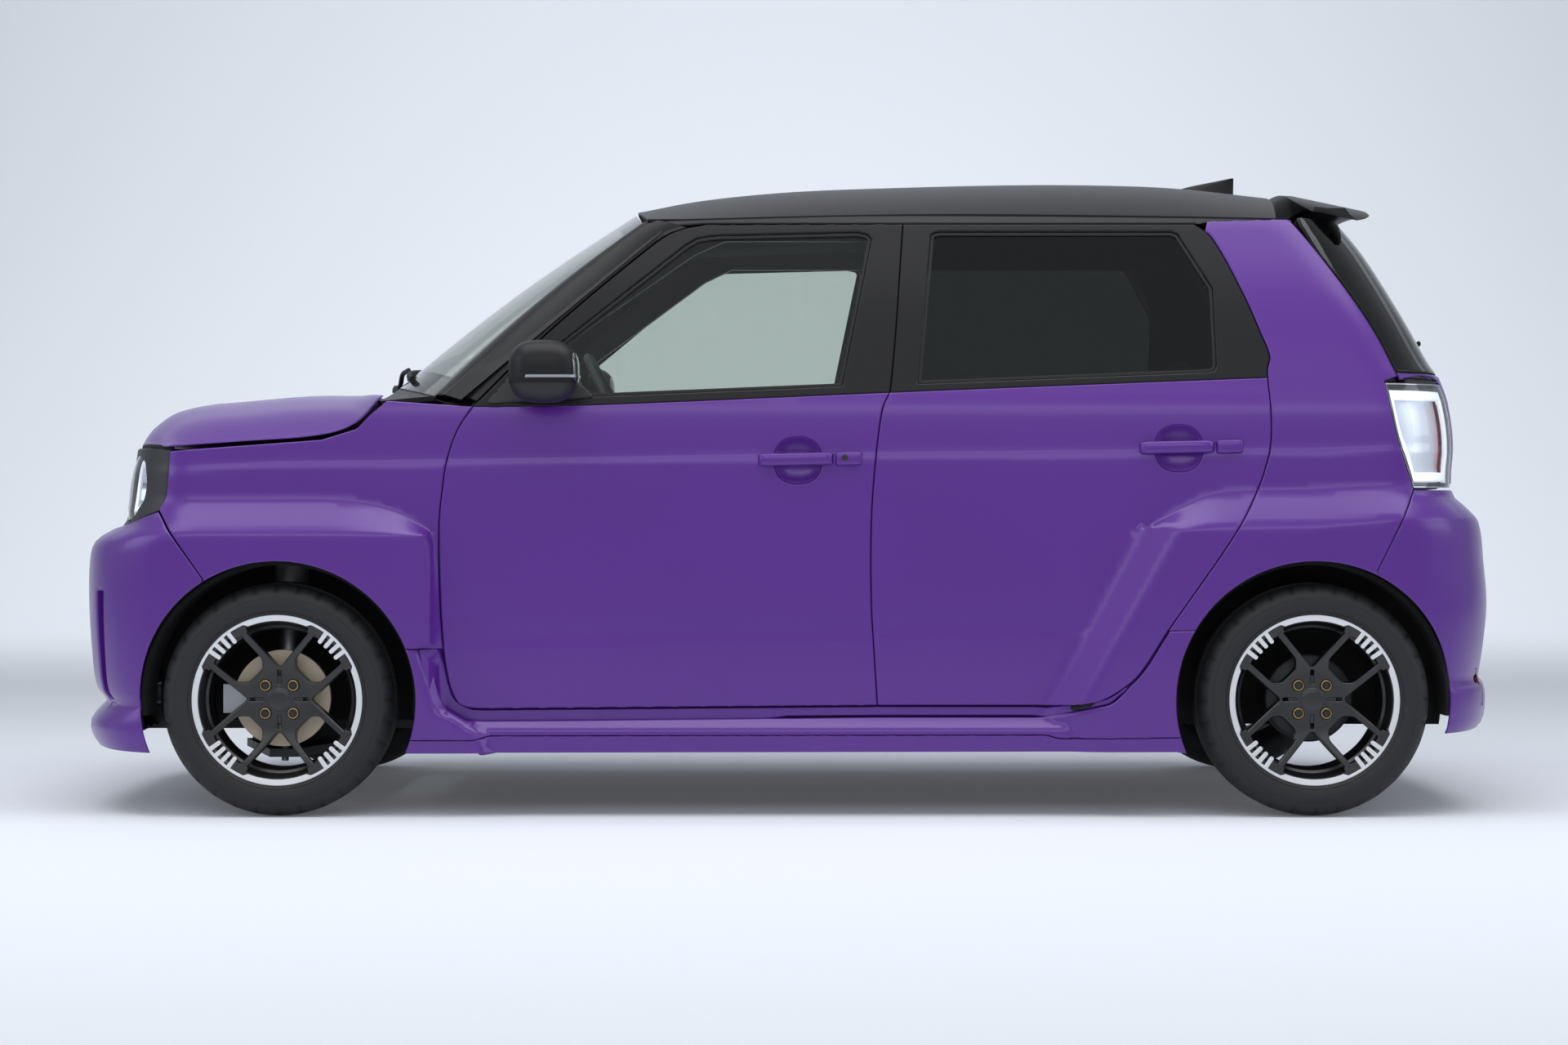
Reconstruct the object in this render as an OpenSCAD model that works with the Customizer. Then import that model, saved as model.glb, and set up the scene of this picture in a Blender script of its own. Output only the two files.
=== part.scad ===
// Compact five-door hatchback, nose towards -X, left side towards -Y, standing on Z = 0.
// The outer skin is one set of functions: a plan rounded at nose and tail, a side section
// with tumblehome, and two wheel flares. Each panel is a slab of that skin trimmed by its
// outline in side view.

/* [Overall] */
// Distance between front and rear axle lines
wheelbase = 2520; // [2300:10:2700]
// Front axle line to the foremost point of the bumper
front_overhang = 550; // [500:5:620]
// Rear axle line to the rearmost point of the bumper
rear_overhang = 510; // [470:5:580]
// Half width of the body at the doors
body_half = 737; // [700:1:780]
// How far the wheel flares stand out from the doors
flare_out = 50; // [20:1:60]
// Height of the belt line above the ground
belt_height = 1020; // [960:5:1080]
// Height of the roof crown above the ground
roof_height = 1605; // [1500:5:1700]

/* [Wheels] */
// Outer radius of the tyre
tyre_r = 284; // [270:1:290]
// Width of the tyre
tyre_w = 185; // [155:5:195]
// Radius of the rim at its outer lip
rim_r = 207; // [190:1:215]
// How far the tyre's outer face sits inside the flare
wheel_tuck = 15; // [5:1:25]
// Radius of the wheel arch openings
arch_r = 338; // [325:1:345]
// Number of spoke pairs
spoke_pairs = 4; // [3:1:5]
// Radius of the brake disc
disc_r = 118; // [100:1:125]

/* [Panels] */
// Gap round doors, bonnet and tailgate
shut_gap = 6; // [5:0.5:8]
// Seam between fixed panels
seam = 0.6; // [0.4:0.1:1]
// Thickness of a whole door
door_t = 70; // [55:1:75]
// Thickness of the fixed outer panels
panel_t = 18; // [12:1:22]
// Thickness of the bumper mouldings
bumper_t = 22; // [15:1:30]
// Thickness of the window glass
glass_t = 5; // [4:0.5:6]

/* [Hidden] */
$fn = 48;
overrun = 400;
door_gap = 8;
fit_gap = 0.3;
bore_clear = 0.05;
grow = 1000;

half_length = (front_overhang + wheelbase + rear_overhang) / 2;
front_axle = front_overhang - half_length;
rear_axle = front_axle + wheelbase;
wheel_face = body_half + flare_out - wheel_tuck;
wheel_mid = wheel_face - tyre_w / 2;
wheel_in = wheel_face - tyre_w;

body_purple = "#5a2f8f";
satin_black = "#222326";
trim_grey = "#3a3d41";
glass_tint = "#5c6668";
steel = "#8d9094";

// Stations run -1..0 over the front overhang, 0..1 over the wheelbase, 1..2 over the rear overhang
function station(s) = s < 0 ? front_axle + s * front_overhang
    : s > 1 ? rear_axle + (s - 1) * rear_overhang : front_axle + s * wheelbase;
// Levels run 0..1 from the ground to the belt line and 1..2 from there to the roof crown
function level(h) = h < 1 ? h * belt_height : belt_height + (h - 1) * (roof_height - belt_height);
function level_of(z) = z < belt_height ? z / belt_height
    : 1 + (z - belt_height) / (roof_height - belt_height);
function station_of(x) = x < front_axle ? (x - front_axle) / front_overhang
    : x > rear_axle ? 1 + (x - rear_axle) / rear_overhang : (x - front_axle) / wheelbase;
function place(p) = [station(p[0]), level(p[1])];
function places(table) = [for (p = table) place(p)];

// Small maths
function share01(t) = min(1, max(0, t));
function ease(t) = let (c = share01(t)) c * c * (3 - 2 * c);
function mix(a, b, t) = a + (b - a) * t;
function even(a, b, n) = [for (i = [0:n]) mix(a, b, i / n)];
function span_at(t, table, i = 0) = i >= len(table) - 2 || t < table[i + 1][0] ? i : span_at(t, table, i + 1);
function pitch(table, i) = let (a = max(0, i - 1), b = min(len(table) - 1, i + 1))
    (table[b][1] - table[a][1]) / (table[b][0] - table[a][0]);
// Smooth curve through a table of [key, value] rows
function curve(t, table) = let (i = span_at(t, table), h = table[i + 1][0] - table[i][0],
    u = share01((t - table[i][0]) / h), a = table[i][1], b = table[i + 1][1])
    a * (1 + 2 * u) * (1 - u) ^ 2 + pitch(table, i) * h * u * (1 - u) ^ 2
    + b * u ^ 2 * (3 - 2 * u) + pitch(table, i + 1) * h * u ^ 2 * (u - 1);

// Body section: [level, inset from body_half as a share of it]
side_inset_shares = [[0, 0.02], [0.15, 0.014], [0.26, 0.01], [0.41, 0.003], [0.55, 0], [0.78, 0],
    [0.88, 0.003], [0.95, 0.008], [1, 0.016], [1.04, 0.026], [1.4, 0.105], [1.72, 0.198], [1.8, 0.225]];
// Nose and tail profiles on the centre line: [level, reach as a share of the overhang]
nose_shares = [[0.15, 0.94], [0.18, 0.985], [0.215, 0.99], [0.245, 0.945], [0.262, 0.91], [0.295, 0.96],
    [0.38, 0.985], [0.52, 1], [0.627, 0.99], [0.66, 0.955], [0.685, 0.87], [0.7, 0.826], [0.735, 0.815],
    [0.9, 0.77]];
tail_shares = [[0.19, 0.94], [0.22, 0.985], [0.3, 0.99], [0.315, 0.96], [0.34, 0.965], [0.41, 0.985],
    [0.5, 1], [0.6, 0.985], [0.7, 0.96], [0.735, 0.9], [0.77, 0.825], [0.9, 0.83], [1, 0.805],
    [1.1, 0.765], [1.16, 0.72], [1.365, 0.596], [1.633, 0.417], [1.767, 0.3], [1.9, 0.17]];
plan_power = 3;
nose_start_share = 0.29;
tail_reach_shares = [[0.7, 0.725], [0.78, 0.53]];
// Flare outlines: top edge as [station, level], inner end as [level, station]
front_flare_top_shares = [[-1, 0.75], [0.03, 0.757], [0.071, 0.752], [0.11, 0.73], [0.141, 0.69], [0.165, 0.65]];
front_flare_end_shares = [[0.2, 0.158], [0.41, 0.1562], [0.68, 0.1505], [0.75, 0.15]];
rear_flare_top_shares = [[0.8, 0.64], [0.833, 0.683], [0.874, 0.737], [0.903, 0.768], [0.944, 0.778], [1.479, 0.792],
    [2, 0.8]];
rear_flare_end_shares = [[0.15, 0.716], [0.277, 0.744], [0.454, 0.783], [0.683, 0.833], [0.8, 0.859]];
flare_chamfer = 75;
front_flare_run = 20;
rear_flare_run = 90;

function inset(z) = body_half * curve(level_of(z), side_inset_shares);
function nose_x(z) = front_axle - front_overhang * curve(level_of(z), nose_shares);
function nose_start() = front_axle - front_overhang * nose_start_share;
function tail_x(z) = rear_axle + rear_overhang * curve(level_of(z), tail_shares);
function tail_reach(z) = rear_overhang * curve(level_of(z), tail_reach_shares);
function tail_start(z) = tail_x(z) - tail_reach(z);
function front_flare(x, z) = flare_out * min(
    share01((level(curve(station_of(x), front_flare_top_shares)) - z) / flare_chamfer),
    share01((station(curve(level_of(z), front_flare_end_shares)) - x) / front_flare_run));
function rear_flare(x, z) = flare_out * min(
    share01((level(curve(station_of(x), rear_flare_top_shares)) - z) / flare_chamfer),
    share01((x - station(curve(level_of(z), rear_flare_end_shares))) / rear_flare_run));
// Half width before nose and tail close in, and with them
function half_width(x, z) = body_half - inset(z) + front_flare(x, z) + rear_flare(x, z);
function close_in(d) = (1 - share01(d) ^ plan_power) ^ (1 / plan_power);
function skin_y(x, z) = half_width(x, z)
    * close_in((nose_start() - x) / (nose_start() - nose_x(z)))
    * close_in((x - tail_start(z)) / tail_reach(z));

// Closed slab between an outer and an inner grid of points, rows by columns
module slab(outer, inner) {
    rows = len(outer);
    cols = len(outer[0]);
    back = rows * cols;
    function at(i, j) = i * cols + j;
    polyhedron([for (r = outer) each r, for (r = inner) each r], [
        for (i = [0:rows - 2], j = [0:cols - 2]) each [
            [at(i, j), at(i + 1, j + 1), at(i + 1, j)], [at(i, j), at(i, j + 1), at(i + 1, j + 1)],
            [back + at(i, j), back + at(i + 1, j), back + at(i + 1, j + 1)],
            [back + at(i, j), back + at(i + 1, j + 1), back + at(i, j + 1)]],
        for (i = [0:rows - 2]) each [
            [at(i, 0), at(i + 1, 0), back + at(i + 1, 0)], [at(i, 0), back + at(i + 1, 0), back + at(i, 0)],
            [at(i, cols - 1), back + at(i + 1, cols - 1), at(i + 1, cols - 1)],
            [at(i, cols - 1), back + at(i, cols - 1), back + at(i + 1, cols - 1)]],
        for (j = [0:cols - 2]) each [
            [at(0, j), back + at(0, j + 1), at(0, j + 1)], [at(0, j), back + at(0, j), back + at(0, j + 1)],
            [at(rows - 1, j), at(rows - 1, j + 1), back + at(rows - 1, j + 1)],
            [at(rows - 1, j), back + at(rows - 1, j + 1), back + at(rows - 1, j)]]]);
}

// Grid that all side panels share, closer where flares, belt and tail bend the skin
side_station_shares = [-0.56, -0.45, -0.33, -0.2, -0.08, 0.04, 0.09, 0.13, 0.149, 0.1545, 0.158, 0.21, 0.3, 0.45,
    0.6, 0.68, 0.72, 0.745, 0.77, 0.795, 0.82, 0.845, 0.87, 0.9, 0.94, 1, 1.07, 1.14, 1.21, 1.28, 1.35, 1.42, 1.5];
side_level_shares = [0.14, 0.19, 0.25, 0.33, 0.43, 0.56, 0.685, 0.735, 0.79, 0.88, 0.96, 1.02, 1.1, 1.25, 1.4, 1.6, 1.78];
function within(shares, span) = [for (v = shares) if (v >= span[0] && v <= span[1]) v];
// Left side skin over spans of that grid, set in by deep and thick by t
module side_slab(station_span, level_span, t, deep = 0) {
    xs = [for (s = within(side_station_shares, station_span)) station(s)];
    zs = [for (h = within(side_level_shares, level_span)) level(h)];
    slab([for (x = xs) [for (z = zs) [x, deep - skin_y(x, z), z]]],
        [for (x = xs) [for (z = zs) [x, deep + t - skin_y(x, z), z]]]);
}
// Left side without its flares: one section in Y and Z, run along the car between two stations
module side_run(station_span, level_span, t, deep) {
    zs = [for (h = within(side_level_shares, level_span)) level(h)];
    function base_y(z) = deep - body_half + inset(z);
    translate([station(station_span[0]), 0, 0]) rotate([90, 0, 90])
        linear_extrude(station(station_span[1]) - station(station_span[0]))
            polygon([for (z = zs) [base_y(z), z], for (i = [len(zs) - 1:-1:0]) [base_y(zs[i]) + t, zs[i]]]);
}
// Side-view outline drawn in X and Z, extruded over the left half
module side_cut(reach = grow) { rotate([90, 0, 0]) linear_extrude(reach) children(); }
module both_sides() { children(); mirror([0, 1, 0]) children(); }

// Front or rear wrap: rows up the profile, columns round the plan
function wrap_y(a, half) = half * sign(sin(a)) * abs(sin(a)) ^ (2 / plan_power);
function wrap_x(a, reach) = reach * abs(cos(a)) ^ (2 / plan_power);
function nose_point(a, z, t) = let (s = nose_start(), half = half_width(s, z))
    [s - wrap_x(a, s - nose_x(z) - t), wrap_y(a, half - t), z];
function tail_point(a, z, t) = let (s = tail_start(z), half = half_width(s, z))
    [s + wrap_x(a, tail_reach(z) - t), wrap_y(a, half - t), z];
module nose_slab(levels, angles, t, deep = 0) {
    zs = [for (h = levels) level(h)];
    slab([for (z = zs) [for (a = angles) nose_point(a, z, deep)]],
        [for (z = zs) [for (a = angles) nose_point(a, z, deep + t)]]);
}
module tail_slab(levels, angles, t, deep = 0) {
    zs = [for (h = levels) level(h)];
    slab([for (z = zs) [for (a = angles) tail_point(-a, z, deep)]],
        [for (z = zs) [for (a = angles) tail_point(-a, z, deep + t)]]);
}

// Side-view outlines: tables of [station, level]
door_f_shares = [[0.2, 0.256], [0.186, 0.257], [0.174, 0.267], [0.165, 0.312], [0.159, 0.402], [0.155, 0.589],
    [0.155, 0.7], [0.158, 0.778], [0.163, 0.856], [0.173, 0.925], [0.189, 0.985], [0.26, 1.281],
    [0.36, 1.655], [0.382, 1.714], [0.41, 1.742], [0.606, 1.746], [0.583, 1], [0.5755, 0.264]];
door_r_shares = [[0.5755, 0.264], [0.583, 1], [0.606, 1.746], [0.893, 1.746], [0.91, 1.682], [0.937, 1.448], [0.954, 1.263],
    [0.961, 1.174], [0.958, 1.115], [0.96, 0.973], [0.96, 0.899], [0.957, 0.856], [0.946, 0.777],
    [0.917, 0.654], [0.858, 0.445], [0.829, 0.337], [0.805, 0.291], [0.785, 0.272], [0.741, 0.264]];
window_f_shares = [[0.303, 1.016], [0.55, 1.052], [0.573, 1.69], [0.565, 1.71], [0.42, 1.695], [0.4, 1.678], [0.285, 1.3],
    [0.29, 1.12]];
window_r_shares = [[0.624, 1.067], [0.632, 1.712], [0.874, 1.712], [0.905, 1.466], [0.906, 1.108]];
fender_shares = [[-0.25, 0.4], [-0.321, 0.568], [-0.538, 0.734], [-0.506, 0.769], [-0.491, 0.872], [-0.163, 0.884],
    [0.041, 0.898], [0.07, 0.922], [0.1, 0.99], [0.2, 0.978], [0.2, 0.4]];
quarter_shares = [[0.8, 0.445], [0.8, 1.733], [0.998, 1.733], [1.057, 1.632], [1.208, 1.441], [1.327, 1.268],
    [1.415, 1.1], [1.35, 1.075], [1.408, 0.9], [1.48, 0.785], [1.289, 0.586], [1.2, 0.445]];
skirt_shares = [[0.11, 0.3995], [0.19, 0.3995], [0.19, 0.25], [0.77, 0.25], [0.83, 0.33], [0.9, 0.4445], [0.93, 0.4445],
    [0.88, 0.156], [0.12, 0.152]];
bumper_f_shares = [[-1.1, 0.15], [-1.1, 0.69], [-0.78, 0.69], [-0.7, 0.7], [-0.54, 0.729], [-0.321, 0.568], [-0.2, 0.4],
    [-0.2, 0.15]];
bumper_r_shares = [[2.1, 0.19], [2.1, 0.781], [1.491, 0.781], [1.289, 0.586], [1.2, 0.4], [1.2, 0.19]];
lamp_panel_shares = [[-1.1, 0.6906], [-1.1, 0.868], [-0.4945, 0.868], [-0.509, 0.769], [-0.543, 0.7296], [-0.7, 0.7006],
    [-0.78, 0.6906]];
rear_lamp_shares = [[1.356, 1.069], [1.416, 0.897], [1.491, 0.7816], [2.1, 0.7816], [2.1, 1.069]];
lamp_top_share = 1.079;
tail_edge_shares = [[1, 1.783], [1.012, 1.733], [1.073, 1.632], [1.224, 1.441], [1.343, 1.268], [1.43, 1.1],
    [1.425, 1.07], [1.3, 1.07], [1.3, 0.79], [2.1, 0.79], [2.1, 1.783]];

module outline(table) { polygon(places(table)); }
module door_f_2d() { outline(door_f_shares); }
module door_r_2d() { difference() { outline(door_r_shares); offset(delta = door_gap) door_f_2d(); } }
module doors_grown_2d() { offset(delta = shut_gap) union() { door_f_2d(); outline(door_r_shares); } }
module arches_2d() { for (x = [front_axle, rear_axle]) translate([x, tyre_r]) circle(arch_r); }

// Doors
door_skin_t = 12;
door_lap = 6;
door_step = 30;
mirror_share = [0.2587, 1.101];
handle_f_share = [0.515, 0.853];
handle_r_share = [0.882, 0.884];
handle_l = 190;
handle_h = 30;
handle_out = 24;
window_gap = 0.3;
glass_deep = 14;

module window(table, room = 0) { side_cut() offset(delta = room) outline(table); }
module handle(p) {
    at = place(p);
    y = skin_y(at[0], at[1]);
    translate([at[0], -y, at[1]]) {
        translate([-handle_l / 2, -handle_out, -handle_h / 2]) cube([handle_l, handle_out / 2, handle_h]);
        for (e = [-1, 1]) translate([e * (handle_l - handle_h) / 2 - handle_h / 2, -handle_out, -handle_h / 2])
            cube([handle_h, handle_out + panel_t, handle_h]);
    }
}
// A door is an outer skin with a deeper body behind it, stepped in so that the edges swing free
door_level_shares = [0.25, 1.78];
door_f_span_shares = [0.149, 0.68];
door_r_span_shares = [0.45, 1];
module door_shape(span, window_shares) {
    difference() {
        union() {
            intersection() {
                side_slab(span, door_level_shares, door_skin_t);
                side_cut() children();
            }
            intersection() {
                side_run(span, door_level_shares, door_t - door_lap, door_lap);
                side_cut() offset(delta = -door_step) children();
            }
        }
        window(window_shares);
    }
}
module front_door() {
    color(body_purple) union() {
        door_shape(door_f_span_shares, window_f_shares) door_f_2d();
        handle(handle_f_share);
    }
}
module rear_door() {
    color(body_purple) union() {
        door_shape(door_r_span_shares, window_r_shares) door_r_2d();
        handle(handle_r_share);
    }
}
glass_level_shares = [0.96, 1.78];
module door_glass(table, span) {
    color(glass_tint) intersection() {
        side_run(span, glass_level_shares, glass_t, glass_deep);
        window(table, -window_gap);
    }
}

// Door mirror: a rounded pod on a short foot at the front corner of the window
mirror_l = 170;
mirror_h = 153;
mirror_w = 182;
mirror_round = 42;
mirror_neck_share = 0.7;
mirror_root_share = 1.6;
module mirror_pod() {
    at = place(mirror_share);
    y = skin_y(at[0], at[1]);
    color(satin_black) translate([at[0], -y, at[1]]) {
        hull() for (dx = [-1, 1], dz = [-1, 1]) let (x = mirror_l / 2 - mirror_round, z = mirror_h / 2 - mirror_round) {
            translate([dx * x, mirror_round - mirror_w, dz * z]) sphere(mirror_round, $fn = 18);
            translate([dx * x * mirror_neck_share, -mirror_round * mirror_root_share, dz * z])
                sphere(mirror_round, $fn = 18);
        }
    }
}
mirror_foot_shares = [[0.205, 1.012], [0.292, 1.025], [0.286, 1.1], [0.262, 1.15]];
mirror_foot_t = 60;
module mirror_foot() {
    color(satin_black) intersection() {
        side_run(door_f_span_shares, glass_level_shares, mirror_foot_t, -mirror_foot_t - fit_gap);
        side_cut() outline(mirror_foot_shares);
    }
}
module mirror_unit() { union() { mirror_pod(); mirror_foot(); } }

// Fixed side panels
module left_fender() {
    color(body_purple) union() {
        difference() {
            intersection() {
                side_slab([-0.56, 0.21], [0.33, 1.02], panel_t);
                side_cut() outline(fender_shares);
            }
            side_cut() union() {
                offset(delta = shut_gap) door_f_2d();
                arches_2d();
                offset(delta = seam) outline(bumper_f_shares);
            }
        }
        bonnet_buffer();
    }
}
// Rubber stop on the fender's top, under the edge of the closed bonnet
stop_r = 5;
stop_h = 24;
stop_shares = [0.6, 0.994];
module bonnet_buffer() {
    p = bonnet_point(stop_shares[0], -stop_shares[1], bonnet_edge_t + 4 * fit_gap);
    translate([p[0], p[1] + stop_r, p[2] - stop_h]) cylinder(r = stop_r, h = stop_h);
}
module left_quarter() {
    color(body_purple) difference() {
        intersection() {
            side_slab([0.795, 1.5], [0.43, 1.78], panel_t);
            side_cut() outline(quarter_shares);
        }
        side_cut() union() {
            offset(delta = shut_gap) outline(door_r_shares);
            arches_2d();
            offset(delta = seam) outline(bumper_r_shares);
        }
    }
}
module left_skirt() {
    color(body_purple) difference() {
        intersection() {
            side_slab([0.09, 0.94], [0.14, 0.56], frame_deep - seam);
            side_cut() outline(skirt_shares);
        }
        side_cut() union() {
            doors_grown_2d();
            arches_2d();
        }
    }
}

// Inner side frame with the two door apertures
frame_gap = 8;
frame_deep = door_t + frame_gap;
frame_t = 40;
frame_shares = [[0.145, 0.19], [0.145, 0.98], [0.19, 1.02], [0.36, 1.62], [0.42, 1.73], [0.93, 1.73], [0.99, 1.2],
    [0.99, 0.9], [0.88, 0.5], [0.82, 0.19]];
aperture_f_shares = [[0.185, 0.32], [0.185, 0.95], [0.28, 1.25], [0.4, 1.62], [0.43, 1.68], [0.575, 1.68], [0.558, 0.95],
    [0.555, 0.32]];
aperture_r_shares = [[0.6, 0.32], [0.6, 0.95], [0.615, 1.68], [0.88, 1.68], [0.92, 1.3], [0.93, 0.9], [0.89, 0.68],
    [0.8, 0.36], [0.77, 0.32]];
module left_frame() {
    color(satin_black) difference() {
        intersection() {
            side_run([0.13, 1], [0.14, 1.78], frame_t, frame_deep);
            side_cut() outline(frame_shares);
        }
        side_cut() union() {
            outline(aperture_f_shares);
            outline(aperture_r_shares);
        }
    }
}

// Roof, bonnet and windscreen: rows from front to rear, columns across
roof_front_shares = [0.336, 0.354];
roof_rear_shares = [0.988, 0.974];
roof_crown_shares = [[0, 1.858], [0.08, 1.912], [0.16, 1.945], [0.26, 1.97], [0.4, 1.986], [0.6, 2], [0.75, 1.998],
    [0.86, 1.984], [1, 1.938]];
roof_edge_shares = [[0, 1.765], [0.06, 1.766], [0.3, 1.782], [0.5, 1.788], [0.8, 1.78], [1, 1.77]];
roof_power = 2.8;
roof_t = 20;
drip_t = 4;
rail_shares = [0.75, 0.92];
rail_level_share = 1.7315;
function roof_point(u, w, t) = let (e = abs(w) ^ roof_power,
    x = mix(station(mix(roof_front_shares[0], roof_front_shares[1], e)),
        station(mix(roof_rear_shares[0], roof_rear_shares[1], e)), u),
    edge = level(curve(u, roof_edge_shares)), crown = level(curve(u, roof_crown_shares)))
    [x, w * skin_y(x, edge), mix(crown, edge, e) - t];
// Underside, with a cant rail down to the side frames and a thin drip edge
function roof_inner(u, w) = let (p = roof_point(u, w, abs(w) > rail_shares[1] ? drip_t : roof_t))
    abs(w) > rail_shares[0] && abs(w) < rail_shares[1] ? [p[0], p[1], level(rail_level_share)] : p;
module roof() {
    us = even(0, 1, 11);
    ws = [for (a = even(-90, 90, 14)) sin(a)];
    color(satin_black) slab([for (u = us) [for (w = ws) roof_point(u, w, 0)]],
        [for (u = us) [for (w = ws) roof_inner(u, w)]]);
}

bonnet_crown_shares = [[0, 0.893], [0.05, 0.935], [0.16, 0.98], [0.42, 1.008], [0.75, 1.035], [1, 1.03]];
bonnet_edge_shares = [[0, 0.886], [0.35, 0.898], [0.72, 0.914], [0.88, 0.944], [1, 1.012]];
bonnet_front_shares = [-0.775, -0.505];
bonnet_rear_shares = [0.07, 0.1];
bonnet_power = 4;
bonnet_t = 18;
bonnet_edge_t = 3;
function bonnet_point(u, w, t) = let (e = abs(w) ^ bonnet_power,
    edge_x = mix(station(bonnet_front_shares[1]), station(bonnet_rear_shares[1]), u),
    x = mix(mix(station(bonnet_front_shares[0]), station(bonnet_rear_shares[0]), u), edge_x, abs(w) ^ plan_power),
    edge = level(curve(u, bonnet_edge_shares)), crown = level(curve(u, bonnet_crown_shares)))
    [x, w * skin_y(edge_x, edge), mix(crown, edge, e) - t];
module bonnet() {
    us = even(0, 1, 10);
    ws = [for (a = even(-90, 90, 14)) sin(a)];
    function thick(w) = mix(bonnet_t, bonnet_edge_t, abs(w) ^ (2 * plan_power));
    color(body_purple) slab([for (u = us) [for (w = ws) bonnet_point(u, w, 0)]],
        [for (u = us) [for (w = ws) bonnet_point(u, w, thick(w))]]);
}

screen_base_shares = [[0.087, 1.075], [0.146, 1.012]];
screen_top_shares = [[0.3335, 1.845], [0.348, 1.752]];
screen_half_shares = [0.852, 0.7436];
screen_lean_share = 0.5;
screen_bulge = 14;
screen_power = 2.2;
function screen_point(v, w, t) = let (e = abs(w) ^ screen_power,
    base = place(screen_base_shares[0]) * (1 - e) + place(screen_base_shares[1]) * e,
    top = place(screen_top_shares[0]) * (1 - e) + place(screen_top_shares[1]) * e,
    lift = screen_bulge * sin(180 * v))
    [mix(base[0], top[0], v) + (t - lift) * screen_lean_share,
        w * body_half * mix(screen_half_shares[0], screen_half_shares[1], v), mix(base[1], top[1], v) + lift - t];
module windscreen() {
    vs = even(0, 1, 6);
    ws = [for (a = even(-90, 90, 12)) sin(a)];
    color(glass_tint) slab([for (v = vs) [for (w = ws) screen_point(v, -w, 0)]],
        [for (v = vs) [for (w = ws) screen_point(v, -w, glass_t)]]);
}

// Nose: bumper, lamp panel and headlamps
corner_angles = even(-90, 90, 18);
bumper_f_level_shares = [0.15, 0.18, 0.215, 0.245, 0.262, 0.295, 0.38, 0.52, 0.627, 0.66, 0.685, 0.7, 0.735];
module across(table) { translate([0, grow, 0]) side_cut(2 * grow) outline(table); }
module arch_bores() { translate([0, grow, 0]) side_cut(2 * grow) arches_2d(); }
module front_bumper() {
    color(body_purple) difference() {
        intersection() {
            nose_slab(bumper_f_level_shares, corner_angles, bumper_t);
            across(bumper_f_shares);
        }
        arch_bores();
    }
}
headlamp_y_share = 0.79;
headlamp_margin = 5;
headlamp_lift = 5;
headlamp_z = (level(lamp_panel_shares[0][1]) + level(lamp_panel_shares[1][1])) / 2 + headlamp_lift;
headlamp_r = (level(lamp_panel_shares[1][1]) - level(lamp_panel_shares[0][1])) / 2 - headlamp_lift - headlamp_margin;
module lamp_bores(r) {
    for (e = [-1, 1]) translate([station(-1), e * body_half * headlamp_y_share, headlamp_z])
        rotate([0, 90, 0]) cylinder(r = r, h = front_overhang);
}
panel_deep = 4;
panel_level_shares = [0.685, 0.735, 0.79, 0.83, 0.88];
module lamp_panel() {
    color(satin_black) difference() {
        intersection() {
            nose_slab(panel_level_shares, corner_angles, panel_t, panel_deep);
            across(lamp_panel_shares);
        }
        lamp_bores(headlamp_r + fit_gap);
    }
}
lamp_dome = 12;
module headlamps() {
    color("silver") intersection() {
        nose_slab(panel_level_shares, corner_angles, 2 * panel_t, panel_deep - lamp_dome);
        lamp_bores(headlamp_r);
    }
}

// Tail: bumper, lamps, tailgate and spoiler
tailgate_stop_angles = [-15, 15];
tailgate_gap = level(tail_edge_shares[8][1]) - level(bumper_r_shares[1][1]);
bumper_r_level_shares = [0.19, 0.22, 0.3, 0.315, 0.34, 0.41, 0.5, 0.6, 0.7, 0.735, 0.781];
module rear_bumper() {
    color(body_purple) difference() {
        intersection() {
            tail_slab(bumper_r_level_shares, corner_angles, bumper_t);
            across(bumper_r_shares);
        }
        arch_bores();
    }
    color(satin_black) for (a = tailgate_stop_angles) let (p = tail_point(a, level(bumper_r_shares[1][1]), bumper_t / 2))
        translate(p - [0, 0, stop_h / 2]) cylinder(r = stop_r, h = tailgate_gap - fit_gap + stop_h / 2);
}
rear_lamp_in_share = 0.754;
rear_lamp_in = body_half * rear_lamp_in_share;
rear_lamp_t = 40;
rear_lamp_level_shares = even(0.78, 1.075, 5);
module rear_lamps() {
    color("#c8c9cc") both_sides() intersection() {
        tail_slab(rear_lamp_level_shares, even(30, 90, 7), rear_lamp_t);
        side_cut() outline(rear_lamp_shares);
        translate([0, -grow - rear_lamp_in, 0]) cube([2 * grow, grow, 2 * grow]);
    }
}
tailgate_t = 40;
tailgate_level_shares = even(0.77, 1.86, 11);
module tailgate() {
    color(body_purple) difference() {
        intersection() {
            tail_slab(tailgate_level_shares, corner_angles, tailgate_t);
            across(tail_edge_shares);
        }
        both_sides() translate([0, shut_gap - grow - rear_lamp_in, 0]) cube([2 * grow, grow, level(lamp_top_share)]);
        tail_window(0);
    }
}
// Rear window corners as [share of the half width, level], drawn across the car
tail_window_shares = [[-0.8, 1.14], [0.8, 1.14], [0.66, 1.7], [-0.66, 1.7]];
tail_glass_level_shares = even(1.1, 1.75, 6);
tail_glass_deep = 6;
module tail_window(room) {
    rotate([90, 0, 90]) linear_extrude(2 * grow) offset(delta = room)
        polygon([for (p = tail_window_shares) [body_half * p[0], level(p[1])]]);
}
module tailgate_glass() {
    color(glass_tint) intersection() {
        tail_slab(tail_glass_level_shares, corner_angles, glass_t, tail_glass_deep);
        tail_window(-window_gap);
    }
}
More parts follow.
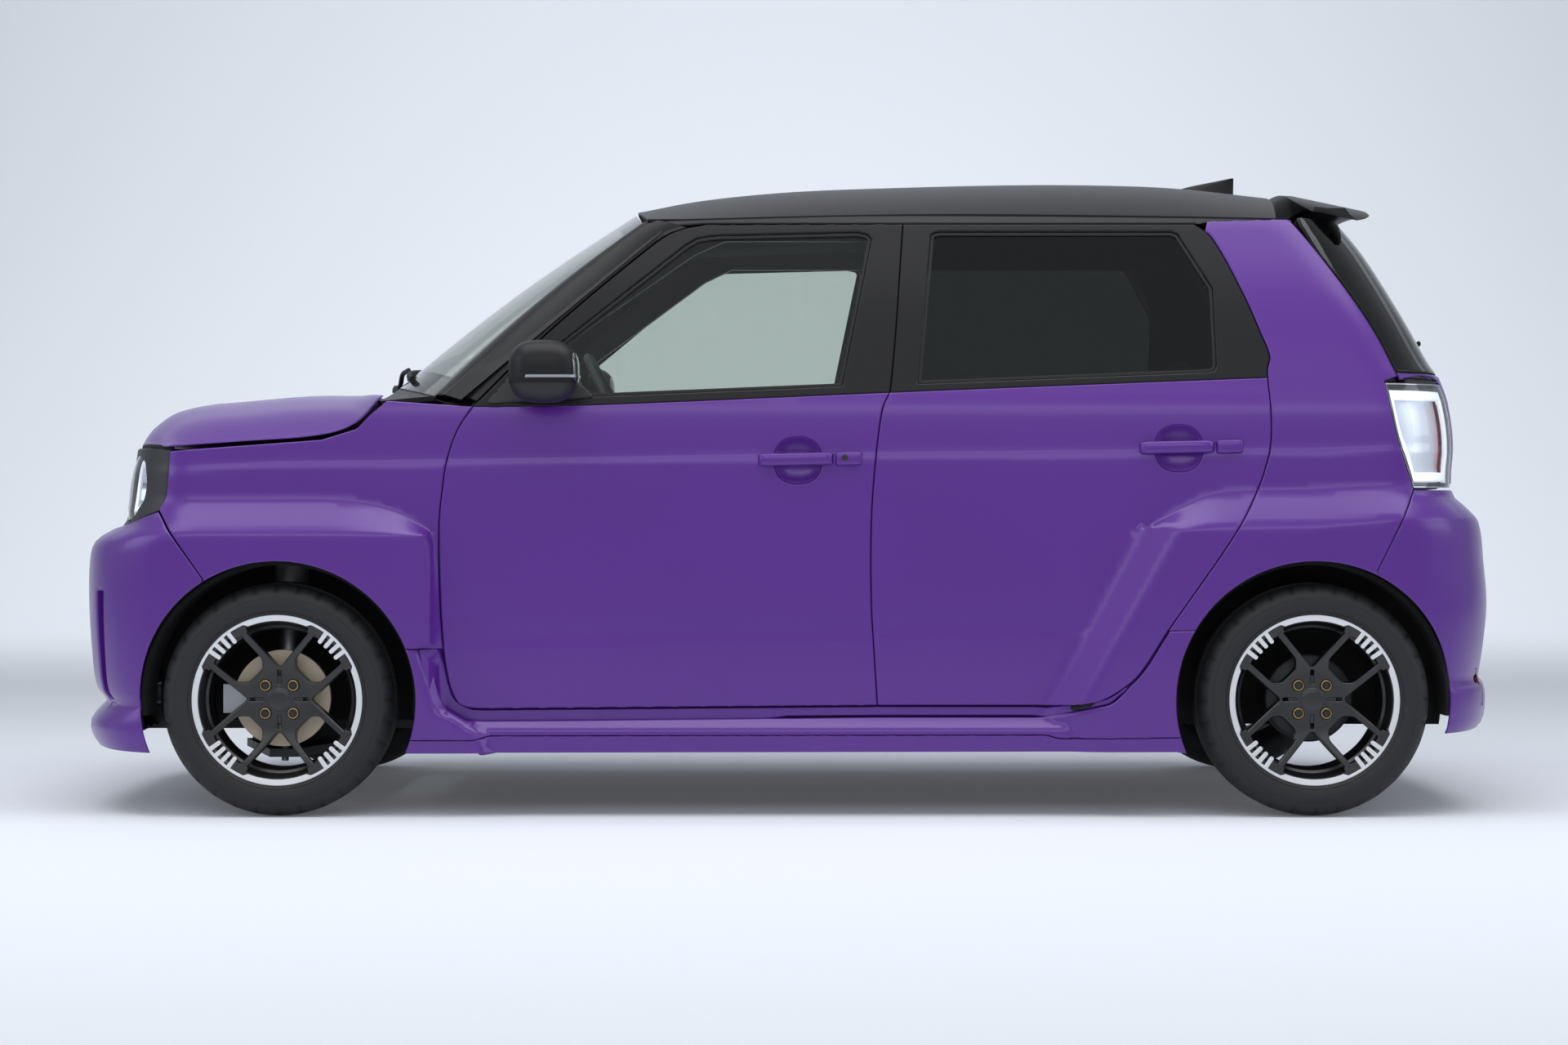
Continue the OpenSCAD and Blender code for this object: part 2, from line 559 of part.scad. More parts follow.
// Spoiler section as [station, level, share of the roof's drop towards its ends]
spoiler_shares = [[1.012, 1.942, 1], [1.05, 1.936, 1], [1.4, 1.868, 1], [1.39, 1.855, 0.9], [1.3, 1.7836, 0],
    [1.13, 1.7836, 0]];
spoiler_half_share = 0.72;
module spoiler() {
    half = body_half * spoiler_half_share;
    ws = even(-1, 1, 12);
    rim = len(spoiler_shares);
    drop = level(roof_crown_shares[8][1]) - level(roof_edge_shares[5][1]);
    function at(p, w) = let (q = place(p), e = abs(w * spoiler_half_share) ^ roof_power)
        [q[0] - roof_point(1, 0, 0)[0] + roof_point(1, w * spoiler_half_share, 0)[0], w * half, q[1] - p[2] * drop * e];
    color(satin_black) polyhedron([for (w = ws) for (p = spoiler_shares) at(p, w)], [
        [for (k = [rim - 1:-1:0]) k],
        [for (k = [0:rim - 1]) (len(ws) - 1) * rim + k],
        for (i = [0:len(ws) - 2], k = [0:rim - 1]) let (m = (k + 1) % rim) each [
            [i * rim + k, i * rim + m, (i + 1) * rim + m],
            [i * rim + k, (i + 1) * rim + m, (i + 1) * rim + k]]]);
}
fin_shares = [0.905, 0.963];
// Back of the fin as [share of its length, share of its height]
fin_back_shares = [[0.35, 0.62], [0.7, 0.93], [1, 1]];
fin_h = 48;
fin_w = 34;
module antenna_fin() {
    x0 = station(fin_shares[0]);
    x1 = station(fin_shares[1]);
    ends = [roof_point(0, 0, 0)[0], roof_point(1, 0, 0)[0]];
    function seat_z(x) = level(curve((x - ends[0]) / (ends[1] - ends[0]), roof_crown_shares)) + fit_gap;
    color(satin_black) rotate([90, 0, 0]) translate([0, 0, -fin_w / 2]) linear_extrude(fin_w)
        polygon([for (x = even(x1, x0, 6)) [x, seat_z(x)],
            for (p = fin_back_shares) [mix(x0, x1, p[0]), seat_z(x1) + fin_h * p[1]]]);
}

// A-pillar between windscreen and door sash, as a loft of sections
pillar_edge_shares = [[0.176, 0.995], [0.372, 1.722]];
pillar_t = 40;
pillar_gap = 0.5;
pillar_bulge = 8;
pillar_top_share = 0.985;
module left_pillar() {
    vs = even(0, pillar_top_share, 7);
    function section(v) = let (a = screen_point(v, -1, 0),
        e = mix(place(pillar_edge_shares[0]), place(pillar_edge_shares[1]), v), b = [e[0], -skin_y(e[0], e[1]), e[1]], i = a - [0, pillar_gap, 0], m = (i + b) / 2)
        [i, m + [-pillar_bulge, -pillar_bulge, pillar_bulge], b, b + [0, pillar_t, 0], i + [pillar_t, 0, -pillar_t / 2]];
    rim = 5;
    last = (len(vs) - 1) * rim;
    color(satin_black) polyhedron([for (v = vs) each section(v)], [
        [0, 1, 2, 3, 4], [last + 4, last + 3, last + 2, last + 1, last],
        for (i = [0:len(vs) - 2], k = [0:rim - 1]) let (m = (k + 1) % rim) each [
            [i * rim + k, (i + 1) * rim + m, i * rim + m],
            [i * rim + k, (i + 1) * rim + k, (i + 1) * rim + m]]]);
}
// Jacking pads under the sills
jack_shares = [0.2, 0.76];
jack_in = 120;
jack_r = 28;
jack_drop = 22;
module jack_pads() {
    for (s = jack_shares) translate([station(s), jack_in - body_half, level(frame_shares[0][1]) - jack_drop])
        cylinder(r = jack_r, h = jack_drop + seam);
}
// Rubber buffers on the sill, two behind each closed door
buffer_shares = [[0.25, 0.303], [0.5, 0.303], [0.64, 0.307], [0.74, 0.307]];
buffer_r = 8;
module door_buffers() {
    for (b = buffer_shares) let (at = place(b))
        translate([at[0], door_t + fit_gap - body_half + inset(at[1] - buffer_r), at[1]])
            rotate([-90, 0, 0]) cylinder(r = buffer_r, h = frame_gap + frame_t / 2);
}
module side_frames() {
    both_sides() {
        color(satin_black) union() { left_frame(); jack_pads(); door_buffers(); }
        left_pillar();
    }
}

// Cowl between bonnet and windscreen
cowl_gap = 8;
cowl_drop = 16;
cowl_t = 25;
cowl_half_share = 0.9;
module cowl() {
    ws = [for (a = even(-90, 90, 12)) sin(a)];
    function front(w) = bonnet_point(1, w * cowl_half_share, 0) + [cowl_gap, 0, -cowl_drop];
    function rear(w) = screen_point(0, w, 0) - [pillar_gap, 0, 0];
    function at(v, w, t) = mix(front(w), rear(w), v) - [0, 0, t];
    color(satin_black) slab([for (v = [0, 0.5, 1]) [for (w = ws) at(v, w, 0)]],
        [for (v = [0, 0.5, 1]) [for (w = ws) at(v, w, cowl_t)]]);
}

// Floor pan with firewall, seat riser, luggage floor and tail panel
floor_z = 195;
floor_t = 20;
load_z = 500;
riser_ahead = 400;
firewall_top_share = 0.941;
tail_panel_share = [1.66, 0.755];
floor_half = body_half - inset(floor_z) - frame_deep - frame_t - seam;
firewall_x = front_axle + arch_r;
riser_x = rear_axle - riser_ahead;
tail_panel_x = place(tail_panel_share)[0];
liner_gap = 12;
liner_in = wheel_in - liner_gap;
module floor_pan() {
    load_half = liner_in - seam;
    color(trim_grey) union() {
        translate([firewall_x, -floor_half, floor_z]) cube([riser_x - firewall_x, 2 * floor_half, floor_t]);
        translate([firewall_x, -load_half, floor_z]) cube([floor_t, 2 * load_half, level(firewall_top_share) - floor_z]);
        translate([riser_x - floor_t, -load_half, floor_z]) cube([floor_t, 2 * load_half, load_z + floor_t - floor_z]);
        translate([riser_x - floor_t, -load_half, load_z]) cube([tail_panel_x - riser_x + 2 * floor_t, 2 * load_half, floor_t]);
        translate([tail_panel_x, -load_half, load_z]) cube([floor_t, 2 * load_half, place(tail_panel_share)[1] - load_z]);
    }
}
battery_behind = 252;
battery_ahead = 130;
battery_inset = 109;
battery_h = 44;
module battery_pack() {
    half = floor_half - battery_inset;
    start = firewall_x + battery_behind;
    color(trim_grey) translate([start, -half, floor_z - seam - battery_h])
        cube([riser_x - battery_ahead - start, 2 * half, battery_h]);
}
// Drive unit, standing on the front rails about the axle line
drive_x = [-210, 240];
drive_inset = 242;
drive_h = 450;
module drive_unit() {
    half = wheel_in - drive_inset;
    color(steel) translate([front_axle + drive_x[0], -half, rail_z[1] + seam])
        cube([drive_x[1] - drive_x[0], 2 * half, drive_h]);
}

// Room for the seats: from the tunnel to the trimmed side wall
cabin_inset = 182;
cabin_half = body_half - cabin_inset;
tunnel_half = 105;
front_seat_y = (cabin_half + tunnel_half) / 2;

// Dashboard with the steering column's housing, right-hand drive
dash_inset = 177;
dash_half = body_half - dash_inset;
dash_deep = 300;
// Dashboard section as [share of its depth, level]
dash_shares = [[0, 0.686], [0.6, 0.686], [0.833, 0.745], [1, 0.863], [0.967, 0.931], [0.767, 0.966], [0, 0.98]];
wheel_behind = 432;
wheel_level_share = 0.99;
wheel_seat = [firewall_x + wheel_behind, front_seat_y, level(wheel_level_share)];
column_tilt = 28;
column_r = 16;
column_l = 260;
housing_r = 42;
housing_gap = 60;
module on_column() { translate(wheel_seat) rotate([0, 90 - column_tilt, 0]) children(); }
module dashboard() {
    color(trim_grey) difference() {
        union() {
            translate([firewall_x + floor_t + seam, dash_half, 0]) rotate([90, 0, 0]) linear_extrude(2 * dash_half)
                polygon([for (p = dash_shares) [p[0] * dash_deep, level(p[1])]]);
            on_column() translate([0, 0, column_r - column_l]) cylinder(r = housing_r, h = column_l - column_r - housing_gap);
        }
        on_column() translate([0, 0, -column_l]) cylinder(r = column_r + bore_clear, h = column_l + overrun);
    }
}
wheel_ring_r = 172;
wheel_grip_r = 13;
wheel_boss_r = 52;
wheel_boss_h = 36;
wheel_spoke_w = 40;
wheel_spoke_t = 14;
module steering_wheel() {
    color(satin_black) on_column() union() {
        rotate_extrude() translate([wheel_ring_r, 0]) circle(wheel_grip_r);
        translate([0, 0, -wheel_boss_h]) cylinder(r = wheel_boss_r, h = wheel_boss_h);
        for (a = [-90, 0, 90]) rotate([0, 0, a]) translate([0, -wheel_spoke_w / 2, -wheel_spoke_t])
            cube([wheel_ring_r, wheel_spoke_w, wheel_spoke_t]);
        translate([0, 0, housing_r - column_l]) cylinder(r = column_r, h = column_l - housing_r);
    }
}

// Seats: side profiles [x, z] from the seat's own front foot, extruded across
front_seat_behind = 502;
front_seat_profile = [[60, 0], [430, 0], [430, 130], [560, 250], [640, 560], [720, 830], [690, 950], [640, 950], [600, 830],
    [520, 600], [430, 330], [120, 310], [0, 330], [0, 230], [60, 130]];
bench_inset = 35;
bench_foot = 318;
bench_clear = 2;
bench_profile = [[40, 0], [bench_foot, 0], [bench_foot, 312], [420, 312], [520, 800], [500, 920], [440, 920], [410, 800],
    [300, 380], [80, 340], [0, 320], [0, 210], [40, 130]];
module seat(x, mid, width, profile) {
    color(trim_grey) translate([x, mid + width / 2, floor_z + floor_t + seam])
        rotate([90, 0, 0]) linear_extrude(width) polygon(profile);
}
module seats() {
    for (e = [-1, 1])
        seat(firewall_x + front_seat_behind, e * front_seat_y, cabin_half - tunnel_half, front_seat_profile);
    seat(riser_x - floor_t - bench_clear - bench_foot, 0, 2 * (cabin_half - bench_inset), bench_profile);
}

// Wheel arch liners
liner_t = 10;
liner_out_share = 0.985;
module arch_liners() {
    r1 = arch_r - seam;
    color(satin_black) both_sides() for (x = [front_axle, rear_axle])
        translate([x, -body_half * liner_out_share, tyre_r]) rotate([-90, 0, 0]) difference() {
            cylinder(r = r1, h = body_half * liner_out_share - liner_in);
            translate([0, 0, -overrun]) cylinder(r = r1 - liner_t, h = 2 * overrun);
            translate([-arch_r - liner_t, liner_low, -overrun]) cube([2 * (arch_r + liner_t), arch_r, 2 * overrun]);
        }
}
liner_low = 40;

// Steering axis of the left wheel, from its lower ball joint to the strut's top
king_out = [38, -97];
king_z = [165, 770];
king_low = [0, -wheel_in - king_out[0], king_z[0]];
king_top = [0, -wheel_in - king_out[1], king_z[1]];
king_tilt = atan2(king_top[1] - king_low[1], king_top[2] - king_low[2]);
king_l = norm(king_top - king_low);
module on_kingpin() { translate([front_axle, king_low[1], king_low[2]]) rotate([-king_tilt, 0, 0]) children(); }
module at_left_hub(x) { translate([x, -wheel_mid, tyre_r]) rotate([90, 0, 0]) children(); }

// Subframe with lower arms, rails and strut towers
arm_z = 138;
arm_t = 20;
arm_inset = 287;
arm_root = wheel_in - arm_inset;
arm_half = 150;
arm_tip = 34;
rail_inset = [252, 192];
rail_y = [wheel_in - rail_inset[0], wheel_in - rail_inset[1]];
rail_z = [190, 249.4];
rail_ahead = 400;
rail_front = front_axle - rail_ahead;
tower_x = 55;
tower_t = 14;
ball_pin_r = 9;
top_pin_r = 11;
top_pin_l = 26;
module left_subframe() {
    difference() {
        union() {
            translate([front_axle, 0, arm_z]) linear_extrude(arm_t)
                polygon([[-arm_half, -arm_root], [arm_half, -arm_root], [arm_tip, king_low[1] - arm_tip],
                    [-arm_tip, king_low[1] - arm_tip]]);
            translate([rail_front, -rail_y[1], rail_z[0]])
                cube([firewall_x - seam - rail_front, rail_y[1] - rail_y[0], rail_z[1] - rail_z[0]]);
            translate([front_axle - tower_x, -rail_y[1], rail_z[0]])
                cube([2 * tower_x, tower_t, king_top[2] + tower_t - rail_z[0]]);
            translate([front_axle - tower_x, king_top[1] - tower_x, king_top[2] - tower_t])
                cube([2 * tower_x, -rail_y[0] - king_top[1] + tower_x - tower_t, tower_t]);
        }
        on_kingpin() translate([0, 0, -overrun]) cylinder(r = ball_pin_r + bore_clear, h = overrun);
        on_kingpin() translate([0, 0, king_l - overrun / 4]) cylinder(r = top_pin_r + bore_clear, h = overrun);
    }
}
cross_x = 120;
module front_subframe() {
    color(steel) union() {
        both_sides() left_subframe();
        translate([front_axle - cross_x, -rail_y[1], arm_z])
            cube([2 * cross_x, 2 * rail_y[1], rail_z[0] - arm_z + arm_t]);
    }
}

// Steering knuckle with spindle, caliper and strut
pin_r = 20;
pin_out = 32;
hub_r = 46;
hub_z = [-104, -36];
leg_half = 22;
leg_out = [21, 55];
leg_y = [wheel_in + leg_out[0], wheel_in + leg_out[1]];
strut_r = 24;
strut_start_share = 0.2;
spring_r = 42;
spring_l = 190;
caliper_l = 70;
caliper_x = [72, 142];
caliper_z = [-52, 14];
disc_z = [-24, -4];
disc_gap = 3.5;
module left_knuckle() {
    color(steel) union() {
        at_left_hub(front_axle) {
            translate([0, 0, hub_z[0]]) cylinder(r = hub_r, h = hub_z[1] - hub_z[0]);
            translate([0, 0, hub_z[1]]) cylinder(r = pin_r, h = pin_out - hub_z[1]);
            difference() {
                translate([-caliper_x[1], -caliper_l / 2, caliper_z[0]])
                    cube([caliper_x[1] - caliper_x[0], caliper_l, caliper_z[1] - caliper_z[0]]);
                translate([leg_half - caliper_x[1], -caliper_l, disc_z[0] - disc_gap])
                    cube([caliper_x[1], 2 * caliper_l, disc_z[1] - disc_z[0] + 2 * disc_gap]);
            }
            translate([leg_half - caliper_x[1], -leg_half, caliper_z[0]])
                cube([caliper_x[1] - leg_half, 2 * leg_half, leg_half]);
        }
        translate([front_axle - leg_half, -leg_y[1], king_low[2]])
            cube([2 * leg_half, leg_y[1] - leg_y[0], tyre_r - king_low[2]]);
        on_kingpin() {
            translate([0, 0, -arm_t - 2 * ball_pin_r]) cylinder(r = ball_pin_r, h = arm_t + 4 * ball_pin_r);
            translate([0, 0, king_l * strut_start_share])
                cylinder(r = strut_r, h = king_l * (1 - strut_start_share) - top_pin_l);
            translate([0, 0, king_l - top_pin_l - spring_l]) cylinder(r = spring_r, h = spring_l - disc_gap);
            translate([0, 0, king_l / 2]) cylinder(r = top_pin_r, h = king_l / 2);
        }
    }
}

// Brake disc with its hat
hat_r = 66;
hat_top = 1.7;
module left_disc() {
    color("#7d7264") at_left_hub(front_axle) difference() {
        union() {
            translate([0, 0, disc_z[0]]) cylinder(r = disc_r, h = disc_z[1] - disc_z[0]);
            translate([0, 0, disc_z[1] - disc_gap]) cylinder(r = hat_r, h = hat_top - disc_z[1] + disc_gap);
        }
        translate([0, 0, -overrun]) cylinder(r = pin_r + bore_clear, h = 2 * overrun);
    }
}

// Rim: profile [radius, distance outwards from the tyre's middle], spokes in pairs, bolts and lip bars
seat_r = 190.5;
rim_half = 84;
rim_lip = 6;
well_r = 174;
barrel_t = 7;
boss_r = 60;
boss_z = [2, 50];
cap_r = 31;
cap_h = 5;
spoke_z = [20, 50];
spoke_root_w = 30;
spoke_tip_w = 22;
spoke_lean = 26;
bolt_pcd_r = 48;
bolt_r = 9;
bolt_h = 5;
bar_w = 6;
bar_l = 30;
bar_h = 10;
bar_step = 5;
bar_count = 4;
drum_r = 108;
drum_z = -62;
module rim(drum) {
    color(satin_black) difference() {
        union() {
            rotate_extrude($fn = 96) polygon([[rim_r, rim_half], [rim_r, rim_half - rim_lip], [seat_r, rim_half - 2 * rim_lip],
                [seat_r, rim_half / 2], [well_r, rim_half / 2 - rim_lip], [well_r, -rim_half / 2], [seat_r, -rim_half / 2 - rim_lip],
                [seat_r, -rim_half + 2 * rim_lip], [rim_r, -rim_half + rim_lip], [rim_r, -rim_half], [rim_r - barrel_t, -rim_half],
                [seat_r - barrel_t, -rim_half + 2 * rim_lip], [well_r - barrel_t, -rim_half / 2], [well_r - barrel_t, rim_half / 2],
                [seat_r - barrel_t, rim_half - 2 * rim_lip], [rim_r - barrel_t, rim_half]]);
            translate([0, 0, boss_z[0]]) cylinder(r = boss_r, h = boss_z[1] - boss_z[0]);
            translate([0, 0, boss_z[1]]) cylinder(r = cap_r, h = cap_h);
            for (k = [0:spoke_pairs - 1], e = [-1, 1]) rotate([0, 0, k * 360 / spoke_pairs + e * spoke_lean])
                translate([0, 0, spoke_z[0]]) linear_extrude(spoke_z[1] - spoke_z[0])
                    polygon([[boss_r / 2, -spoke_root_w / 2], [seat_r - barrel_t, -spoke_tip_w / 2],
                        [seat_r - barrel_t, spoke_tip_w / 2], [boss_r / 2, spoke_root_w / 2]]);
            for (k = [0:spoke_pairs - 1]) rotate([0, 0, (k + 0.5) * 360 / spoke_pairs]) {
                translate([bolt_pcd_r, 0, boss_z[1] - bolt_h]) cylinder(r = bolt_r, h = 2 * bolt_h);
                for (b = [0:bar_count - 1]) rotate([0, 0, (b - (bar_count - 1) / 2) * bar_step])
                    translate([rim_r - barrel_t - bar_l, -bar_w / 2, rim_half - bar_h]) cube([bar_l - rim_lip / 2, bar_w, bar_h]);
            }
            if (drum) translate([0, 0, drum_z]) cylinder(r = drum_r, h = boss_z[0] - drum_z);
        }
        translate([0, 0, drum_z - overrun]) cylinder(r = pin_r + bore_clear, h = overrun - drum_z + pin_out + cap_h);
    }
}
// Tyre: hollow section with circumferential grooves
tread_half_share = 0.72;
// Sidewall corners as shares of the way from rim to tread: low, bulge, shoulder, inner
wall_shares = [0.2, 0.55, 0.85, 0.6];
shoulder_share = 0.65;
bead_share = 0.7;
wall_t = 11;
groove_w = 9;
groove_d = 7;
groove_shares = [-0.45, -0.15, 0.15, 0.45];
module tyre() {
    half = tyre_w / 2;
    bead = seat_r + fit_gap;
    inner = rim_half - rim_lip * 2 - fit_gap;
    shoulder = half * tread_half_share;
    lip = inner + rim_lip * bead_share;
    corner = mix(shoulder, half, shoulder_share);
    r = [for (w = wall_shares) mix(rim_r, tyre_r, w)];
    crown = tyre_r - groove_d - wall_t;
    color("#1b1b1c") rotate_extrude($fn = 96) difference() {
        polygon([[bead, -inner], [rim_r + fit_gap, -lip], [r[0], -half], [r[1], -half], [r[2], -corner], [tyre_r, -shoulder],
            [tyre_r, shoulder], [r[2], corner], [r[1], half], [r[0], half], [rim_r + fit_gap, lip], [bead, inner],
            [bead, inner - wall_t], [rim_r + wall_t, half - wall_t], [r[3], half - wall_t], [crown, shoulder],
            [crown, -shoulder], [r[3], wall_t - half], [rim_r + wall_t, wall_t - half], [bead, wall_t - inner]]);
        for (g = groove_shares) translate([tyre_r - groove_d, g * tyre_w - groove_w / 2]) square([overrun, groove_w]);
    }
}

// Rear axle: torsion beam, trailing arms, spindles and spring legs
beam_x = -260;
beam_z = 262;
beam_r = 38;
trail_inset = [97, 45];
trail_y = [wheel_in - trail_inset[0], wheel_in - trail_inset[1]];
arm_x = -335;
arm_h = 56;
rear_hub_r = 52;
rear_hub_l = 34;
leg_x = -90;
leg_r = 40;
module left_trailing_arm() {
    width = trail_y[1] - trail_y[0];
    translate([rear_axle + arm_x, -trail_y[1], tyre_r - arm_h / 2]) cube([leg_half - arm_x + hub_r, width, arm_h]);
    translate([rear_axle + arm_x, -trail_y[0], tyre_r]) rotate([90, 0, 0]) cylinder(r = hub_r, h = width);
    translate([rear_axle, -trail_y[1], tyre_r]) rotate([90, 0, 0]) {
        cylinder(r = rear_hub_r, h = rear_hub_l);
        cylinder(r = pin_r, h = wheel_mid - trail_y[1] + pin_out);
    }
    translate([rear_axle + leg_x, -trail_y[1] + width / 2, tyre_r]) cylinder(r = leg_r, h = load_z - seam - tyre_r);
}
module rear_axle_beam() {
    color(steel) union() {
        both_sides() left_trailing_arm();
        translate([rear_axle + beam_x, trail_y[1], beam_z]) rotate([90, 0, 0]) cylinder(r = beam_r, h = 2 * trail_y[1]);
    }
}

roof();
bonnet();
windscreen();
both_sides() left_fender();  // front_fenders
both_sides() left_quarter();  // quarters
both_sides() left_skirt();  // side_skirts
side_frames();
front_bumper();
lamp_panel();
headlamps();
rear_bumper();
rear_lamps();
tailgate();
tailgate_glass();
spoiler();
antenna_fin();
front_door();  // door_fl
mirror([0, 1, 0]) front_door();  // door_fr
rear_door();  // door_rl
mirror([0, 1, 0]) rear_door();  // door_rr
door_glass(window_f_shares, door_f_span_shares);  // glass_fl
mirror([0, 1, 0]) door_glass(window_f_shares, door_f_span_shares);  // glass_fr
door_glass(window_r_shares, door_r_span_shares);  // glass_rl
mirror([0, 1, 0]) door_glass(window_r_shares, door_r_span_shares);  // glass_rr
mirror_unit();  // mirror_l
mirror([0, 1, 0]) mirror_unit();  // mirror_r
cowl();
floor_pan();
battery_pack();
drive_unit();
dashboard();
steering_wheel();
seats();
arch_liners();
front_subframe();
rear_axle_beam();
left_knuckle();  // knuckle_l
mirror([0, 1, 0]) left_knuckle();  // knuckle_r
left_disc();  // disc_l
mirror([0, 1, 0]) left_disc();  // disc_r
at_left_hub(front_axle) rim(false);  // rim_fl
mirror([0, 1, 0]) at_left_hub(front_axle) rim(false);  // rim_fr
at_left_hub(rear_axle) rim(true);  // rim_rl
mirror([0, 1, 0]) at_left_hub(rear_axle) rim(true);  // rim_rr
at_left_hub(front_axle) tyre();  // tyre_fl
mirror([0, 1, 0]) at_left_hub(front_axle) tyre();  // tyre_fr
at_left_hub(rear_axle) tyre();  // tyre_rl
mirror([0, 1, 0]) at_left_hub(rear_axle) tyre();  // tyre_rr
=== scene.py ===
# %% [markdown]
# # A compact hatchback, dressed over its CAD frame
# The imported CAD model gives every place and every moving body. This lesson dresses it: smooth
# pressed panels, glass, lamps, wheels and cabin, each riding on the body that carries it.

# %% Load the frame
import bpy, bmesh, math
import numpy as np
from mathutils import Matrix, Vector, geometry


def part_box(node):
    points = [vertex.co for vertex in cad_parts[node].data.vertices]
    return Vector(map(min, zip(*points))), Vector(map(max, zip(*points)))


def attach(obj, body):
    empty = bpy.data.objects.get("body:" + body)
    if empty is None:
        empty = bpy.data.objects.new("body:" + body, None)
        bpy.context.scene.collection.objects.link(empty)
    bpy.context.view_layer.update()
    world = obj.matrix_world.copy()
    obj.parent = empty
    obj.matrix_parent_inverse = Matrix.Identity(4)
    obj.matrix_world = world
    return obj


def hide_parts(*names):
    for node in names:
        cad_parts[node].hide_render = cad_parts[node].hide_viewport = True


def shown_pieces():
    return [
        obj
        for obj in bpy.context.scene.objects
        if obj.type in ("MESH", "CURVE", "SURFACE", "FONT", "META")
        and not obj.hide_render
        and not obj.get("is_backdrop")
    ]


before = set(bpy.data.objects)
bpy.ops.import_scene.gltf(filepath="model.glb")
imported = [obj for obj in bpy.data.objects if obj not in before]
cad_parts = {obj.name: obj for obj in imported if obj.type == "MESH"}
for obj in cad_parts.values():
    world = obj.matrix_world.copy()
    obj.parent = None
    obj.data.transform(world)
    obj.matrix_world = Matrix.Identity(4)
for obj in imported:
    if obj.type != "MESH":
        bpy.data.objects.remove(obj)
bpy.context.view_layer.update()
LEFT, RIGHT = -1, 1
FORWARD, BACKWARD = (-1, 0, 0), (1, 0, 0)

# %% [markdown]
# ## Driving sizes
# Axle lines, tyre size and track are read from the CAD boxes, so the dressing follows the frame.
# Stations run -1..0 over the front overhang, 0..1 over the wheelbase and 1..2 over the rear
# overhang; levels run 0..1 up to the belt line and 1..2 from there to the roof crown.

# %% Sizes from the frame
def middle(node):
    low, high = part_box(node)
    return (Vector(low) + Vector(high)) / 2

FRONT_AXLE, REAR_AXLE = middle("tyre_fl").x, middle("tyre_rl").x
TYRE_R = (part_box("tyre_fl")[1][2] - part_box("tyre_fl")[0][2]) / 2
TYRE_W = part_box("tyre_fl")[1][1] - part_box("tyre_fl")[0][1]
WHEEL_Y = -middle("tyre_fl").y
WHEELBASE = REAR_AXLE - FRONT_AXLE
FRONT_END = FRONT_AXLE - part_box("front_bumper")[0][0]
REAR_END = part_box("rear_bumper")[1][0] - REAR_AXLE
ROOF_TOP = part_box("roof")[1][2]
BELT = 1.02
BODY_HALF = .737
FLARE_OUT = .05
ARCH_R = .338
print("wheelbase %.3f m, tyre radius %.3f m, roof %.3f m" % (WHEELBASE, TYRE_R, ROOF_TOP))

# %% [markdown]
# Designers measure a car body in stations along it and levels up it, so a panel keeps its shape when an
# overhang or the roof changes. Blender's own curves could draw the lines, but plain functions can be
# asked for any point, and later for the slope as well.

# %% Stations and levels
def station(s):
    s = np.asarray(s, float)
    return np.where(s < 0, FRONT_AXLE + s * FRONT_END,
                    np.where(s > 1, REAR_AXLE + (s - 1) * REAR_END, FRONT_AXLE + s * WHEELBASE))

def level(h):
    h = np.asarray(h, float)
    return np.where(h < 1, h * BELT, BELT + (h - 1) * (ROOF_TOP - BELT))

def station_of(x):
    return np.where(x < FRONT_AXLE, (x - FRONT_AXLE) / FRONT_END,
                    np.where(x > REAR_AXLE, 1 + (x - REAR_AXLE) / REAR_END, (x - FRONT_AXLE) / WHEELBASE))

def level_of(z):
    return np.where(z < BELT, z / BELT, 1 + (z - BELT) / (ROOF_TOP - BELT))

def places(rows):
    rows = np.asarray(rows, float)
    return np.column_stack([station(rows[:, 0]), level(rows[:, 1])])

print("doors end at x = %.3f m" % float(station(.96)))

# %% Smooth curves
def curve(t, table):
    """Smooth curve through rows of [key, value]."""
    rows = np.asarray(table, float)
    keys, values = rows[:, 0], rows[:, 1]
    last = len(keys) - 1
    before, after = np.maximum(np.arange(last + 1) - 1, 0), np.minimum(np.arange(last + 1) + 1, last)
    slope = (values[after] - values[before]) / (keys[after] - keys[before])
    t = np.clip(np.asarray(t, float), keys[0], keys[-1])
    i = np.clip(np.searchsorted(keys, t, side="right") - 1, 0, last - 1)
    h = keys[i + 1] - keys[i]
    u = (t - keys[i]) / h
    return (values[i] * (1 + 2 * u) * (1 - u) ** 2 + slope[i] * h * u * (1 - u) ** 2
            + values[i + 1] * u ** 2 * (3 - 2 * u) + slope[i + 1] * h * u ** 2 * (u - 1))

def soft_ramp(t, round_share=.07):
    """0 to 1 as t goes 0 to 1, with rounded ends, as a press tool leaves them."""
    soft = lambda v: round_share * np.logaddexp(0, v / round_share)
    return soft(t) - soft(t - 1)

def soft_min(a, b, round_share=.06):
    return -round_share * np.logaddexp(-a / round_share, -b / round_share)

print("half way up a ramp: %.2f" % soft_ramp(.5))

# %% [markdown]
# ## The body skin
# The same surface as in the CAD source: a side section with tumblehome, plan curves that close in
# at nose and tail, and two flares. Here the creases are rounded and two pressed lines are added.

